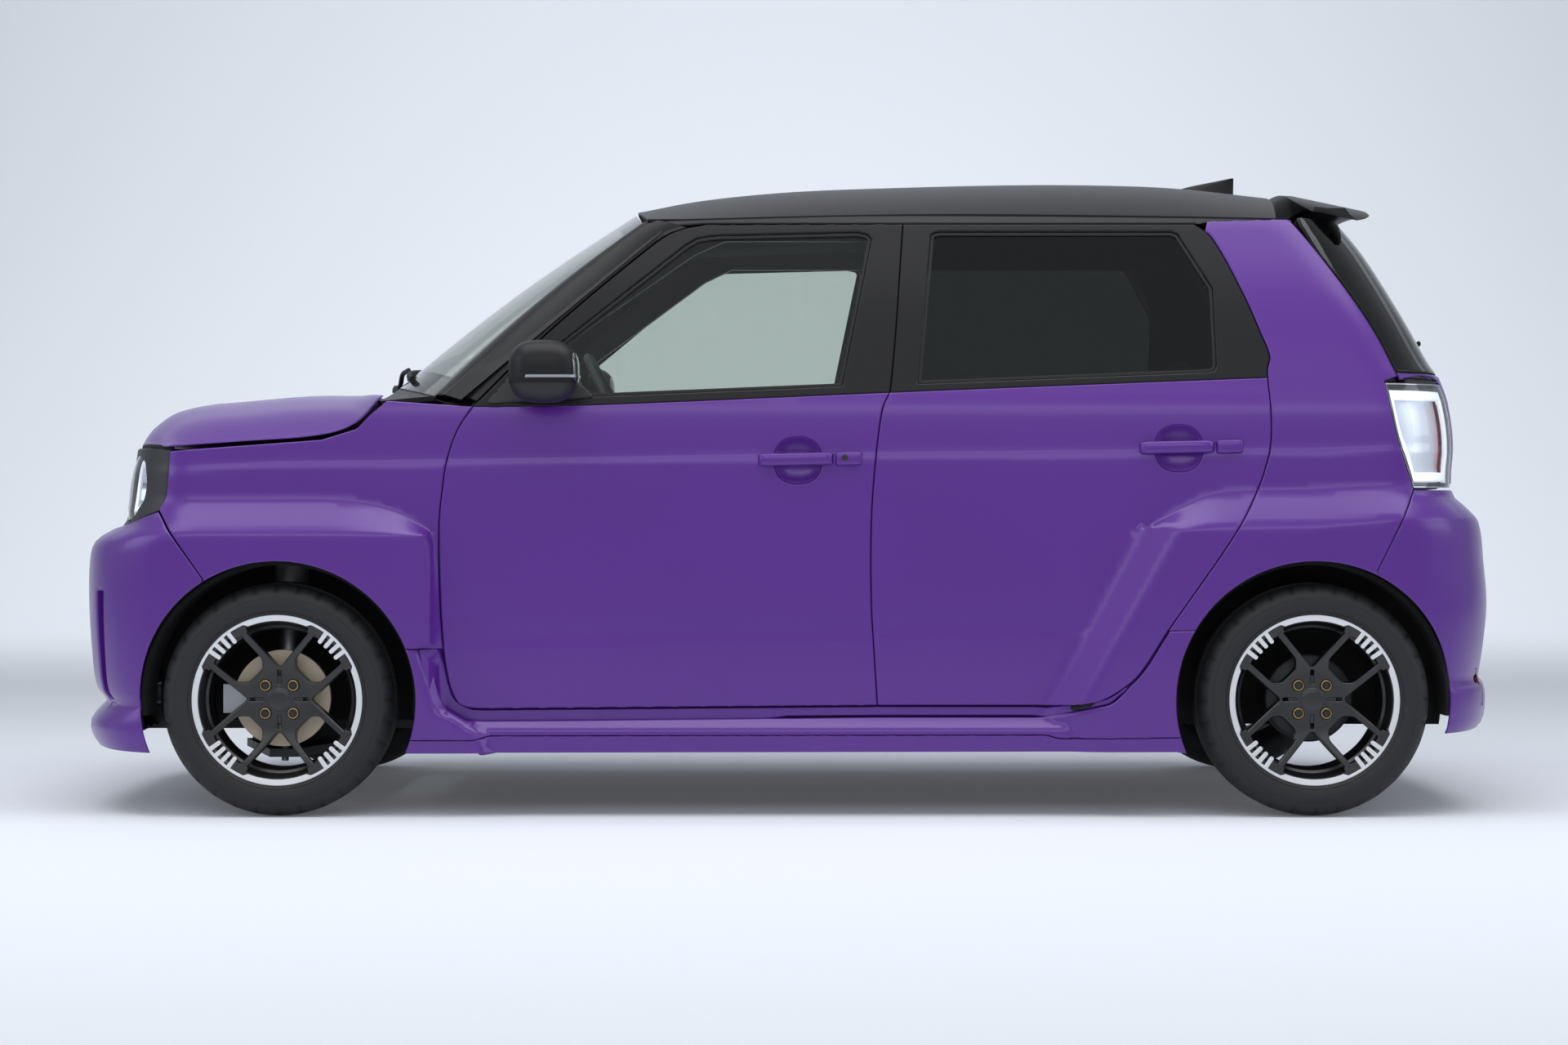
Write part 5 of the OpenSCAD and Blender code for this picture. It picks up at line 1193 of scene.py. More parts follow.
# %% Roof and windscreen surfaces
ROOF_FRONT, ROOF_REAR, ROOF_POWER = (.336, .354), (.988, .974), 2.1
ROOF_CROWN = [[0, 1.858], [.08, 1.908], [.16, 1.939], [.26, 1.963], [.4, 1.979], [.6, 1.993], [.75, 1.991],
              [.86, 1.977], [1, 1.932]]
ROOF_EDGE = [[0, 1.765], [.06, 1.766], [.3, 1.782], [.5, 1.788], [.8, 1.78], [1, 1.77]]

def roof_at(u, w):
    e = np.abs(w) ** ROOF_POWER
    x = mix(station(mix(ROOF_FRONT[0], ROOF_FRONT[1], e)), station(mix(ROOF_REAR[0], ROOF_REAR[1], e)), u)
    edge, crown = level(curve(u, ROOF_EDGE)), level(curve(u, ROOF_CROWN))
    return np.column_stack([x, w * skin_y(x, edge), mix(crown, edge, e)])

SCREEN_BASE, SCREEN_TOP = places([[.087, 1.075], [.146, 1.012]]), places([[.3335, 1.845], [.348, 1.752]])
SCREEN_HALF, SCREEN_BULGE, SCREEN_LEAN, SCREEN_POWER = (.852, .7436), .014, .5, 2.2

def screen_at(v, w):
    e = (np.abs(w) ** SCREEN_POWER)[:, None]
    base, top = mix(SCREEN_BASE[0], SCREEN_BASE[1], e), mix(SCREEN_TOP[0], SCREEN_TOP[1], e)
    lift = SCREEN_BULGE * np.sin(np.pi * v)
    line = mix(base, top, v[:, None])
    return np.column_stack([line[:, 0] - lift * SCREEN_LEAN,
                            w * BODY_HALF * mix(SCREEN_HALF[0], SCREEN_HALF[1], v), line[:, 1] + lift])

def spread(count, edge=1.0):
    """Values from -edge to edge, closer together towards the ends."""
    return edge * np.sin(np.linspace(-math.pi / 2, math.pi / 2, count))

print("roof crown at %.3f m" % roof_at(np.array([.6]), np.zeros(1))[0, 2])

# %% [markdown]
# The bonnet is an outer pressing with an inner one under it, and the roof has a cloth headliner.
# Subdivided boxes could be pulled to shape by eye; the lofts meet the side panels' edges exactly.

# %% Bonnet and roof
bonnet = patch("bonnet_skin", bonnet_at, np.linspace(0, 1, 60), spread(72, .999), thick=.004, curl=.0015)
dress(bonnet, PURPLE, "bonnet", "purple_paint", ["bonnet"])
liner = patch("bonnet_inner", bonnet_at, np.linspace(.05, .95, 30), spread(40, .9), thick=.01, deep=.0045)
dress(liner, BLACK, "bonnet", "black_paint")
roof = patch("roof_skin", roof_at, np.linspace(0, 1, 70), spread(80, .9995), thick=.005)
dress(roof, BLACK, "shell", "black_paint", ["roof"])
headliner = patch("roof_headliner", roof_at, np.linspace(.02, .98, 30), spread(36, .93), thick=.012, deep=.016)
dress(headliner, CABIN, "shell", "interior")
rail = loop(stroke([[.372, 1.735], [.41, 1.7485], [.893, 1.7485], [.99, 1.757]], smooth=False),
            stroke([[.99, 1.768], [.874, 1.778], [.609, 1.787], [.5, 1.782], [.372, 1.764]]))
pair("drip_rail", side_sheet(rail, thick=.02, deep=.003), TRIM, "shell", "black_plastic")
print("bonnet and roof made")

# %% [markdown]
# The windscreen is bonded glass with a printed black border, and bent steel pillars run up beside it. The
# border could be painted by a mask; thin strips under the glass have a clean edge.

# %% Windscreen and its black border
screen = patch("windscreen_glass", screen_at, np.linspace(0, 1, 36), spread(48, .998), thick=.005, out=(-1, 0, 1))
dress(screen, CLEAR, "shell", "clear_glass", ["windscreen"])
BORDER = .0056
for name, vs, ws in (("base", np.linspace(0, .1, 6), spread(40, .998)),
                     ("top", np.linspace(.93, 1, 5), spread(40, .998)),
                     ("left", np.linspace(.1, .93, 30), np.linspace(-.998, -.95, 5)),
                     ("right", np.linspace(.1, .93, 30), np.linspace(.95, .998, 5))):
    dress(patch("windscreen_border_" + name, screen_at, vs, ws, thick=.0008, deep=BORDER, out=(-1, 0, 1)), SEAL,
          "shell", "black_plastic")
print("windscreen made")

# %% Pillars
PILLAR_SPAN, PILLAR_GAP = level(np.array([.993, 1.728])), .0035
PILLAR_BULGE = .011

def pillar_at(v, t):
    inner = screen_at(v, -np.ones_like(v)) + [0, -.0015, 0]
    z = mix(PILLAR_SPAN[0], PILLAR_SPAN[1], v)
    x = np.interp(z, sash_line[:, 1], sash_line[:, 0]) - PILLAR_GAP
    outer = side_point(x, z)
    bend = (inner + outer) / 2 + np.array([-2, -2, 2]) * PILLAR_BULGE
    t = t[:, None]
    return (1 - t) ** 2 * inner + 2 * t * (1 - t) * bend + t ** 2 * outer

pillar = lambda name: patch(name, pillar_at, np.linspace(0, 1, 40), np.linspace(0, 1, 14), out=(-.4, -1, .3))
pair("windscreen_pillar", pillar, BLACK, "shell", "black_paint")
print("pillars made")

# %% [markdown]
# A moulded cowl fills the gap between bonnet and glass, and two wipers park on it. Their bars could be
# curves with a bevel; a small tube function gives plain meshes that can be flattened and tapered.

# %% Cowl and bars
COWL_GAP, COWL_DROP, COWL_HALF = .008, .016, .9

def cowl_at(v, w):
    front = bonnet_at(np.ones_like(w), w * COWL_HALF) + [COWL_GAP, 0, -COWL_DROP]
    return mix(front, screen_at(np.zeros_like(w), w), v[:, None])

piece = patch("cowl_cover", cowl_at, np.linspace(0, 1, 8), spread(48, .999), thick=.012)
dress(piece, TRIM, "shell", "black_plastic", ["cowl"])

def tube(name, points, radius, sides=10, flat=1.0):
    """A bar of round or flattened section along points, with closed ends."""
    points = np.asarray(points, float)
    radius = np.broadcast_to(np.asarray(radius, float), (len(points),))
    verts = []
    along = unit_rows(np.gradient(points, axis=0))
    up = np.array([0, 0, 1.0])
    side = unit_rows(np.cross(along, up) + 1e-9)
    lift = np.cross(side, along)
    for k in range(sides):
        a = 2 * math.pi * k / sides
        verts.append(points + radius[:, None] * (math.cos(a) * side + math.sin(a) * flat * lift))
    verts = np.stack(verts, axis=1).reshape(-1, 3)
    return tidy(mesh_object(name, verts, ring_faces(len(points), sides)))

print("cowl made")

# %% Wipers
WIPER_CAP = [(.0005, .016), (.01, .015), (.015, .008), (.016, -.004), (.0005, -.004)]
for name, w0, w1 in (("left", -.62, .1), ("right", -.02, .7)):
    ws = np.linspace(w0, w1, 20)
    line = screen_at(np.linspace(.035, .075, 20), ws) + [-.006, 0, .008]
    dress(tube("wiper_blade_" + name, line, .007, 8, 1.4), SEAL, "shell", "black_plastic")
    root = cowl_at(np.array([.55]), np.array([w1 - .12]))[0] + [0, 0, .014]
    arm = np.array([root, root + [.01, -.03, .016], mix(root, line[9], .5) + [-.004, 0, .022],
                    line[9] + [-.004, 0, .012]])
    dress(tube("wiper_arm_" + name, spline(arm, .01), .0065, 8), TRIM, "shell", "black_plastic")
    on_cowl = lambda r, a, d: np.column_stack([root[0] + r * np.cos(a), root[1] + r * np.sin(a),
            root[2] + d + 0 * r])
    dress(turned("wiper_cap_" + name, WIPER_CAP, on_cowl, 24), TRIM, "shell", "black_plastic")
print("wipers made")

# %% [markdown]
# ## Tail
# The tailgate is purple below its window and black round the bonded glass. Tall clear lamps stand at
# the corners, the bumper wraps below, and a black spoiler carries on the roof line.

# %% Edges of the tailgate
GATE_EDGE = [[.998, 1.757], [1.066, 1.632], [1.217, 1.441], [1.336, 1.268], [1.427, 1.092]]
GATE_LOW, GATE_SPLIT, GATE_TOP, LAMP_TOP = .793, 1.105, 1.783, 1.079
LAMP_IN = .754 * BODY_HALF

def tail_start(z):
    return tail_x(z) - tail_reach(z)

def gate_side(low, high, y=None):
    """Left edge of the tailgate between two levels: along the lamps at y, or along the quarter."""
    z = np.linspace(float(level(low)), float(level(high)), max(3, int((level(high) - level(low)) / .01)))
    if y is not None:
        return np.column_stack([across_turn(-y + 0 * z, z, tail_start(z)), z])
    line = stroke(GATE_EDGE)
    x = np.interp(z, line[::-1, 1], line[::-1, 0])
    return on_tail(np.column_stack([x, z]))

print("lamps start %.3f m from the middle" % LAMP_IN)

# %% Tailgate panels
lamp_side = gate_side(GATE_LOW, LAMP_TOP - .004, LAMP_IN - .004)
split_side = gate_side(LAMP_TOP, GATE_SPLIT)
lower = both_halves(loop(spline(np.array([[0, level(GATE_SPLIT)], split_side[-1]]), LAYOUT_STEP),
                         split_side[::-1], lamp_side[::-1],
                         spline(np.array([lamp_side[0], [0, level(GATE_LOW)]]), LAYOUT_STEP)))
piece = tail_sheet("tailgate_skin", lower, thick=PANEL_T)
dress(piece, PURPLE, "tailgate", "purple_paint", ["tailgate"])
upper_side = gate_side(GATE_SPLIT + .002, GATE_TOP)
upper = both_halves(loop(spline(np.array([[0, level(GATE_TOP)], upper_side[-1]]), LAYOUT_STEP), upper_side[::-1],
                         spline(np.array([upper_side[0], [0, level(GATE_SPLIT + .002)]]), LAYOUT_STEP)))
corners = [[-.78, 1.15], [.78, 1.15], [.64, 1.68], [-.64, 1.68]]
hole = rounded([[float(across_turn(y * BODY_HALF, level(h), tail_start(level(h)))), float(level(h))]
                for y, h in corners], .05)
piece = tail_sheet("tailgate_frame", upper, [hole], thick=.03, deep=.0055)
dress(piece, BLACK, "tailgate", "black_paint")
piece = tail_sheet("tailgate_window", inset(upper, .003), thick=.004, deep=.0008, curl=.001)
dress(piece, PRIVACY, "tailgate", "tint_glass", ["tailgate_glass"])
piece = tail_sheet("tailgate_inner", inset(lower, .035), thick=.03, deep=.0065, pitch=.03)
dress(piece, CABIN, "tailgate", "interior")
print("tailgate made")

# %% [markdown]
# A rear lamp is a clear cover over a frame, a light guide and a red stop lamp. They could be cut from one
# block; insets of one outline at different depths keep every rim parallel.

# %% Rear lamps
LAMP_FRONT, STOP_SHARE = [[1.356, 1.067], [1.412, .898], [1.489, .7835]], .86
lamp_lead = on_tail(stroke(LAMP_FRONT))
lamp_in = gate_side(.7835, 1.067, LAMP_IN + .001)
lamp = loop(lamp_lead, spline(np.array([lamp_lead[-1], lamp_in[0]]), .01), lamp_in,
            spline(np.array([lamp_in[-1], lamp_lead[0]]), .01))
lamp = inset(lamp, .0015)
lamp_sheet = lambda outline, holes=(), **options: (lambda name: tail_sheet(name, outline, holes, **options))
pair("rear_lamp_lens", lamp_sheet(lamp, thick=.003, curl=.002), LENS, "shell", "lamp", (("rear_lamps",), ()))
pair("rear_lamp_housing", lamp_sheet(inset(lamp, .002), thick=.004, deep=.03), SILVER, "shell", "lamp")
pair("rear_lamp_trim", lamp_sheet(inset(lamp, .0008), [inset(lamp, .004)], thick=.004, deep=.0032, hem=.001,
                                  curl=.001), CHROME, "shell", "lamp")
pair("rear_lamp_frame", lamp_sheet(inset(lamp, .0045), [inset(lamp, .012)], thick=.025, deep=.0045, hem=.002),
     TRIM, "shell", "black_plastic")
pair("rear_lamp_light_guide", lamp_sheet(inset(lamp, .0145), [inset(lamp, .036)], thick=.012, deep=.01, hem=.004,
        curl=.004), LED, "shell", "lamp")
stop = inset(lamp, .044)
stop[:, 0] = np.maximum(stop[:, 0], mix(stop[:, 0].min(), stop[:, 0].max(), STOP_SHARE))
pair("rear_lamp_stop", lamp_sheet(loop(stop), thick=.008, deep=.018), RED, "shell", "lamp")
print("rear lamps made")

# %% [markdown]
# The rear cover wraps the tail as the front one wraps the nose, with two reflectors and a grained
# diffuser let in. It is laid out flat for the same reason: smooth shading round its holes.

# %% Rear bumper
REAR_TOP, REAR_LOW = .779, .195
seam_r = on_tail(stroke([[1.489, REAR_TOP], [1.2915, .5855]], smooth=False))
arch_r = on_tail(arc(rear_hub, ARCH_R, 63.3, rise(level(REAR_LOW))))
rear_half = loop(spline(np.array([[0, level(REAR_TOP)], seam_r[0]]), LAYOUT_STEP), seam_r, arch_r,
                 spline(np.array([arch_r[-1], [0, level(REAR_LOW)]]), LAYOUT_STEP))
rear_cover = both_halves(rear_half)
REFLECTOR = [[.5, .262], [.525, .262], [.532, .352], [.507, .352]]
reflectors = [rounded(np.array(REFLECTOR) * [side, 1], .006) for side in (LEFT, RIGHT)]
DIFFUSER = rounded([[-.36, .215], [.36, .215], [.34, .29], [-.34, .29]], .02)
piece = tail_sheet("rear_bumper_cover", rear_cover, reflectors + [DIFFUSER], thick=COVER_T, lines=[level_row(.7)])
dress(piece, PURPLE, "shell", "purple_paint", ["rear_bumper"])
for side, hole in zip(("left", "right"), reflectors):
    dress(tail_sheet("rear_reflector_" + side, inset(hole, .0006), thick=.006, deep=.001, hem=.002), RED, "shell",
          "lamp")
dress(tail_sheet("rear_diffuser", inset(DIFFUSER, -.003), thick=.004, deep=.006), GRAIN, "shell", "black_plastic")
print("rear bumper made")

# %% [markdown]
# One short arm holds a blade on the rear window. A straight bar would sink into the curved glass, so its
# points stand off along the window's own normals, and it rides with the tailgate.

# %% Rear wiper
WIPER_Z, WIPER_OUT = 1.104, .011

def on_window(p, q):
    p, q = np.asarray(p, float), np.asarray(q, float)
    return tail_at(p, q) + WIPER_OUT * surface_normals(tail_at, p, q, BACKWARD)

pivot = tail_at(np.zeros(1), np.array([WIPER_Z]))[0]
cap = [(.0005, .021), (.012, .02), (.0165, .013), (.0175, -.006), (.0005, -.006)]
behind_window = lambda r, a, d: np.column_stack([pivot[0] + d + 0 * r, r * np.cos(a), pivot[2] + r * np.sin(a)])
dress(turned("rear_wiper_cap", cap, behind_window, 32), TRIM, "tailgate", "black_plastic")
arm = on_window(np.linspace(0, -.16, 14), WIPER_Z + np.linspace(.004, .052, 14))
dress(tube("rear_wiper_arm", arm, np.linspace(.009, .006, 14), 10, .7), TRIM, "tailgate", "black_plastic")
blade = on_window(np.linspace(-.34, .02, 26), WIPER_Z + np.linspace(.06, .052, 26))
dress(tube("rear_wiper_blade", blade - [.003, 0, 0], .006, 8, 1.2), SEAL, "tailgate", "black_plastic")
print("rear wiper made")

# %% [markdown]
# ## Wheels
# A cast alloy wheel: satin black spider of eight spokes in four pairs, a bright turned lip with four
# combs of bars, and a black barrel behind. The spider and the lip are flat outlines lifted on to a
# dished face; barrel, drum and tyre are turned profiles.

# %% Wheel layout
RIM_R, LIP_OUT = .207, .0835
HUB_FACE, TIP_FACE = .05, .079
QUARTER = math.pi / 2

def spin(points, angle):
    c, s = math.cos(angle), math.sin(angle)
    return np.asarray(points) @ np.array([[c, s], [-s, c]])

def face_out(r):
    """How far the spider's face stands out from the tyre's middle at a radius."""
    t = np.clip((r - .062) / (.19 - .062), 0, 1)
    return HUB_FACE + (TIP_FACE - HUB_FACE) * t * t * (3 - 2 * t)

def wheel_surface(axle_x, out):
    """Layout in the wheel's own plane, lifted to out(radius) on the left side of the car."""
    return lambda p, q: np.column_stack([axle_x + p, -WHEEL_Y - out(np.hypot(p, q)), TYRE_R + q])

def side_turn(x, y, z):
    """Places the points of turned pieces whose axis points out of the car's left side."""
    return lambda r, a, d: np.column_stack([x + r * np.cos(a), y - d + 0 * r, z + r * np.sin(a)])

def wheel_turn(axle_x):
    return side_turn(axle_x, -WHEEL_Y, TYRE_R)

print("face stands out %.3f m at the hub, %.3f m at the tips" % (HUB_FACE, TIP_FACE))

# %% [markdown]
# The spider's outline repeats every quarter turn, and so do the bars on the bright lip. One quarter is
# drawn and spun four times; the lip's inner edge is a list of angles and radii.

# %% Outlines of spider, lip and bars
SPOKE = [[.0795, .004], [.1745, .0855], [.1645, .0965], [.0965, .04], [.073, .04]]
quarter_turn = np.vstack([SPOKE, np.array(SPOKE)[::-1, ::-1], [[0, .079]]])
spider = rounded(np.vstack([spin(quarter_turn, k * QUARTER) for k in range(4)]), .007, .004)
BOLT_R, BOLT_RING = .0135, .048
diagonals = [QUARTER / 2 + k * QUARTER for k in range(4)]
bolt_centres = [BOLT_RING * np.array([math.cos(a), math.sin(a)]) for a in diagonals]
bolt_holes = [arc(c, BOLT_R, 0, 345, .003) for c in bolt_centres]
GROOVE = rounded([[.037, -.0036], [.072, -.004], [.072, .004], [.037, .0036]], .003, .002)
grooves = [spin(GROOVE, k * QUARTER) for k in range(4)]
BAR_STEP, BAR_HALF, BAR_END = 5.9, 1.6, .1705
LIP_IN, LIP_THIN, THIN_TO, WIDE_FROM = .1925, .2, 20.7, 23.6

def lip_inside():
    """Inner edge of the bright lip: wide between the pairs, thin at the tips, four bars at each diagonal."""
    rows = []
    for k in range(4):
        at = 45 + 90 * k
        rows += [(at - 45, LIP_IN), (at - WIDE_FROM, LIP_IN), (at - THIN_TO, LIP_THIN)]
        for bar in (-1.5, -.5, .5, 1.5):
            b = at + bar * BAR_STEP
            rows += [(b - BAR_HALF * .98, LIP_THIN), (b - BAR_HALF * 1.05, BAR_END + .004),
                     (b - BAR_HALF * .75, BAR_END + .001), (b, BAR_END),
                     (b + BAR_HALF * .75, BAR_END + .001), (b + BAR_HALF * 1.05, BAR_END + .004),
                     (b + BAR_HALF * .98, LIP_THIN)]
        rows += [(at + THIN_TO, LIP_THIN), (at + WIDE_FROM, LIP_IN)]
    polar = []
    for (a0, r0), (a1, r1) in zip(rows, rows[1:] + [(360, LIP_IN)]):
        steps = max(1, int(abs(a1 - a0) / 1.5))
        polar += [(mix(a0, a1, t), mix(r0, r1, t)) for t in np.linspace(0, 1, steps, endpoint=False)]
    a, r = np.radians([p[0] for p in polar]), np.array([p[1] for p in polar])
    return np.column_stack([r * np.cos(a), r * np.sin(a)])

print("spider %d points" % len(spider))

# %% Lip, pads and bars
lip_hole = lip_inside()
lip_rim = arc((0, 0), RIM_R, 0, 358.5, .004)
PAD_AT, PAD_HALF = 15.9, 5.6
pad_edge = lambda r, a: [r * math.cos(math.radians(a)), r * math.sin(math.radians(a))]
PAD = rounded([pad_edge(.179, -PAD_HALF), pad_edge(.2003, -PAD_HALF), pad_edge(.2006, 0),
               pad_edge(.2003, PAD_HALF), pad_edge(.179, PAD_HALF)], .003, .003)
pads = [spin(PAD, math.radians(45 + side * PAD_AT + 90 * k)) for side in (-1, 1) for k in range(4)]
lip_face = lambda r: LIP_OUT - .18 * (RIM_R - r)
print("lip %d points" % len(lip_hole))

# %% [markdown]
# A real wheel is one casting, painted and then turned bright on its face. Here paint and bright metal are
# layers of their own, so that the edge between them is sharp, and all of them ride on their wheel.

# %% Turned profiles of the wheel
BARREL = [(.2068, .08), (.1915, .0745), (.188, .06), (.183, .046), (.179, .03), (.17, .012), (.169, -.04),
          (.18, -.06), (.186, -.076),
          (.206, -.0835), (.2072, -.079), (.1905, -.072), (.185, -.05), (.1745, -.04), (.1745, .032),
          (.1895, .044), (.1905, .072), (.206, .0785)]
CAP = [(.0005, .0545), (.016, .0542), (.025, .053), (.0285, .0505), (.029, .044), (.0005, .044)]
BOLT_GOLD = [(.0128, .0475), (.0128, .0495), (.0108, .05), (.0102, .049), (.0102, .044), (.0128, .044)]
BOLT_HEAD = [(.0005, .0465), (.007, .0465), (.0078, .0455), (.0078, .038), (.0005, .038)]
HUB_BACK = [(.0005, .046), (.058, .044), (.062, .036), (.062, .006), (.0005, .002)]
DRUM = [(.0005, .001), (.098, .001), (.106, -.004), (.108, -.012), (.108, -.06), (.0005, -.062)]
WHEELS = [("front", FRONT_AXLE, ("wheel_front_left", "wheel_front_right"), (("rim_fl",), ("rim_fr",))),
          ("rear", REAR_AXLE, ("wheel_rear_left", "wheel_rear_right"), (("rim_rl",), ("rim_rr",)))]
print("turned profiles:", len(BARREL), len(CAP), len(DRUM), "rows")

# %% Put the wheels together
for name, axle_x, bodies, nodes in WHEELS:
    turn = wheel_turn(axle_x)
    flat = lambda out: wheel_surface(axle_x, out)
    pair(name + "_wheel_spider", lambda n: sheet(n, flat(face_out), spider, bolt_holes + grooves, thick=.024,
            pitch=.007, hem=.0045, curl=.005),
         ALLOY, bodies, "alloy", nodes)
    pair(name + "_wheel_barrel", lambda n: turned(n, BARREL, turn, 128, True), ALLOY, bodies, "alloy")
    pair(name + "_wheel_lip", lambda n: sheet(n, flat(lip_face), lip_rim, [lip_hole], thick=.006, pitch=.006,
            hem=.0012, curl=.0008), BRIGHT, bodies, "aluminium")
    pair(name + "_wheel_hub", lambda n: turned(n, HUB_BACK, turn, 64), ALLOY, bodies, "alloy")
    pair(name + "_wheel_cap", lambda n: turned(n, CAP, turn, 64), ALLOY, bodies, "alloy")
    for k, pad in enumerate(pads):
        pair("%s_spoke_pad_%d" % (name, k), lambda n: sheet(n, flat(lambda r: lip_face(r) - .0008), pad,
                thick=.012, pitch=.006, hem=.0025, curl=.002), ALLOY, bodies, "alloy")
    for k, c in enumerate(bolt_centres):
        at = lambda r, a, d: turn(r, a, d) + [c[0], 0, c[1]]
        pair("%s_bolt_ring_%d" % (name, k), lambda n: turned(n, BOLT_GOLD, at, 32, True), GOLD, bodies, "steel")
        pair("%s_bolt_head_%d" % (name, k), lambda n: turned(n, BOLT_HEAD, at, 6), STEEL, bodies, "steel")
    if name == "rear":
        pair("rear_brake_drum", lambda n: turned(n, DRUM, turn, 64), STEEL, bodies, "steel")
print("wheels made")

# %% [markdown]
# A tyre is a turned section with round grooves; the shoulder blocks are cut by short cross grooves,
# made here by pressing every sixth slice of the shoulder inwards.

# %% Tyre section
def tyre_rows():
    half = TYRE_W / 2
    wall = [(.195, .074), (.2, .079), (.206, .0815), (.2085, .0825), (.213, .0868), (.2155, .0885),
            (.2162, .0876), (.2215, .0905), (.232, half),
            (.242, .0922), (.248, .0908), (.2486, .0897), (.2545, .088), (.26, .085)]
    shoulder = [(.266, .0805), (.2715, .074), (.2765, .066), (.2798, .057)]
    groove = lambda at: [(TYRE_R - .001, at + .0048), (TYRE_R - .0014, at + .0042), (.2765, at + .0036),
                         (.2765, at - .0036), (TYRE_R - .0008, at - .0042), (TYRE_R - .0004, at - .0048)]
    left = wall + shoulder + [(.2822, .05)] + groove(.042) + groove(.0145) + [(TYRE_R, .004)]
    return left + [(r, -d) for r, d in left[::-1]]

print("tyre section: %d rows" % len(tyre_rows()))

# %% Build the tyres
TYRE_SLICES, SIPE_EVERY, SIPE_DEEP = 192, 6, .0045

def tyre(axle_x):
    turn = wheel_turn(axle_x)
    def around(r, a, d):
        cut = (np.arange(len(a)) % SIPE_EVERY == 0) & (abs(d) > .049) & (r > .264)
        return turn(r - SIPE_DEEP * cut, a + .5 * (abs(d) - .05) * np.sign(d) * (r > .264), d)
    return lambda n: turned(n, tyre_rows(), around, TYRE_SLICES)

pair("front_tyre", tyre(FRONT_AXLE), RUBBER, WHEELS[0][2], "tyre", (("tyre_fl",), ("tyre_fr",)))
pair("rear_tyre", tyre(REAR_AXLE), RUBBER, WHEELS[1][2], "tyre", (("tyre_rl",), ("tyre_rr",)))
print("tyres made")

# %% [markdown]
# ## Mirrors, handles, spoiler and aerial
# Small moulded parts. The mirror is a rounded shell with a lamp strip along its seam; the handles
# are bars over cups pressed into the doors; spoiler and fin are lofted sections.

# %% Rounded shells for the mirrors
MIRROR_AT, MIRROR_HALF = np.array([-.588, -.82, 1.079]), np.array([.085, .074, .0765])
SHELL_POWER, GLASS_PROUD, POD_NARROW = 2.8, .0008, .16

def pod(name, at, half, power=3.0, rows=26, cols=48, low=-1.0, high=1.0, grow=0.0):
    """Part of a rounded box between two shares of its height."""
    lat = np.linspace(math.asin(low), math.asin(high), rows)
    lon = np.linspace(0, 2 * math.pi, cols, endpoint=False)
    sign_power = lambda v: np.sign(v) * np.abs(v) ** (2 / power)
    verts = []
    for t in lat:
        ring, up = sign_power(np.cos(t)), sign_power(np.sin(t))
        x = sign_power(np.cos(lon)) * ring * (half[0] + grow)
        y = sign_power(np.sin(lon)) * ring * (half[1] + grow)
        x = np.where(x < 0, x * (1 - POD_NARROW * np.abs(y / half[1]) ** 2), x)
        verts.append(np.column_stack([at[0] + x, at[1] + y, np.full(cols, at[2] + up * (half[2] + grow))]))
    return tidy(mesh_object(name, np.vstack(verts), ring_faces(rows, cols)))

print("mirror at", MIRROR_AT)

# %% Build the mirrors
MIRRORS = (("mirror_l",), ("mirror_r",))
pair("mirror_shell", lambda n: pod(n, MIRROR_AT, MIRROR_HALF, SHELL_POWER, low=-.24, high=1), BLACK, FRONT_DOORS,
     "black_paint", MIRRORS)
pair("mirror_base", lambda n: pod(n, MIRROR_AT, MIRROR_HALF, 2.7, low=-1, high=-.26, grow=-.001), TRIM,
     FRONT_DOORS, "black_plastic")
pair("mirror_lamp", lambda n: pod(n, MIRROR_AT + [.012, -.004, -.0125], MIRROR_HALF * [.9, .99, .09], 4.0,
                                  rows=8), CHROME, FRONT_DOORS, "lamp")
MIRROR_FOOT = rounded(places([[.2, .985], [.305, 1.0], [.292, 1.055], [.245, 1.16], [.235, 1.16]]), .012)
pair("mirror_sail", side_sheet(MIRROR_FOOT, thick=.01, deep=-.006), TRIM, FRONT_DOORS, "black_plastic")
neck = np.array([[-.6, -.715, 1.045], [-.6, -.745, 1.04], [-.595, -.785, 1.035], [-.592, -.82, 1.035]])
pair("mirror_neck", lambda n: tube(n, spline(neck, .01), .03, 20, .62), TRIM, FRONT_DOORS, "black_plastic")

def mirror_glass_at(p, q):
    rest = 1 - np.abs(p / MIRROR_HALF[1]) ** SHELL_POWER - np.abs(q / MIRROR_HALF[2]) ** SHELL_POWER
    x = MIRROR_AT[0] + GLASS_PROUD + MIRROR_HALF[0] * np.maximum(rest, .01) ** (1 / SHELL_POWER)
    return np.column_stack([x, MIRROR_AT[1] + p, MIRROR_AT[2] + q])

mirror_face = rounded([[-.05, -.03], [.05, -.03], [.05, .05], [-.05, .05]], .028)
pair("mirror_glass", lambda n: sheet(n, mirror_glass_at, mirror_face, thick=.003, pitch=.008, out=BACKWARD),
     CHROME, FRONT_DOORS, "lamp")
print("mirrors made")

# %% [markdown]
# A handle is a bar that stands over a cup in the door, so that fingers fit behind it. A bent box could
# do; lofting a section along the skin keeps the bar at the same distance from the curved door.

# %% Handle cups
HANDLE_TALL, HANDLE_OUT, CUP_DEEP, CUP_SINK, CUP_WALL = .031, .02, .015, .0015, .002

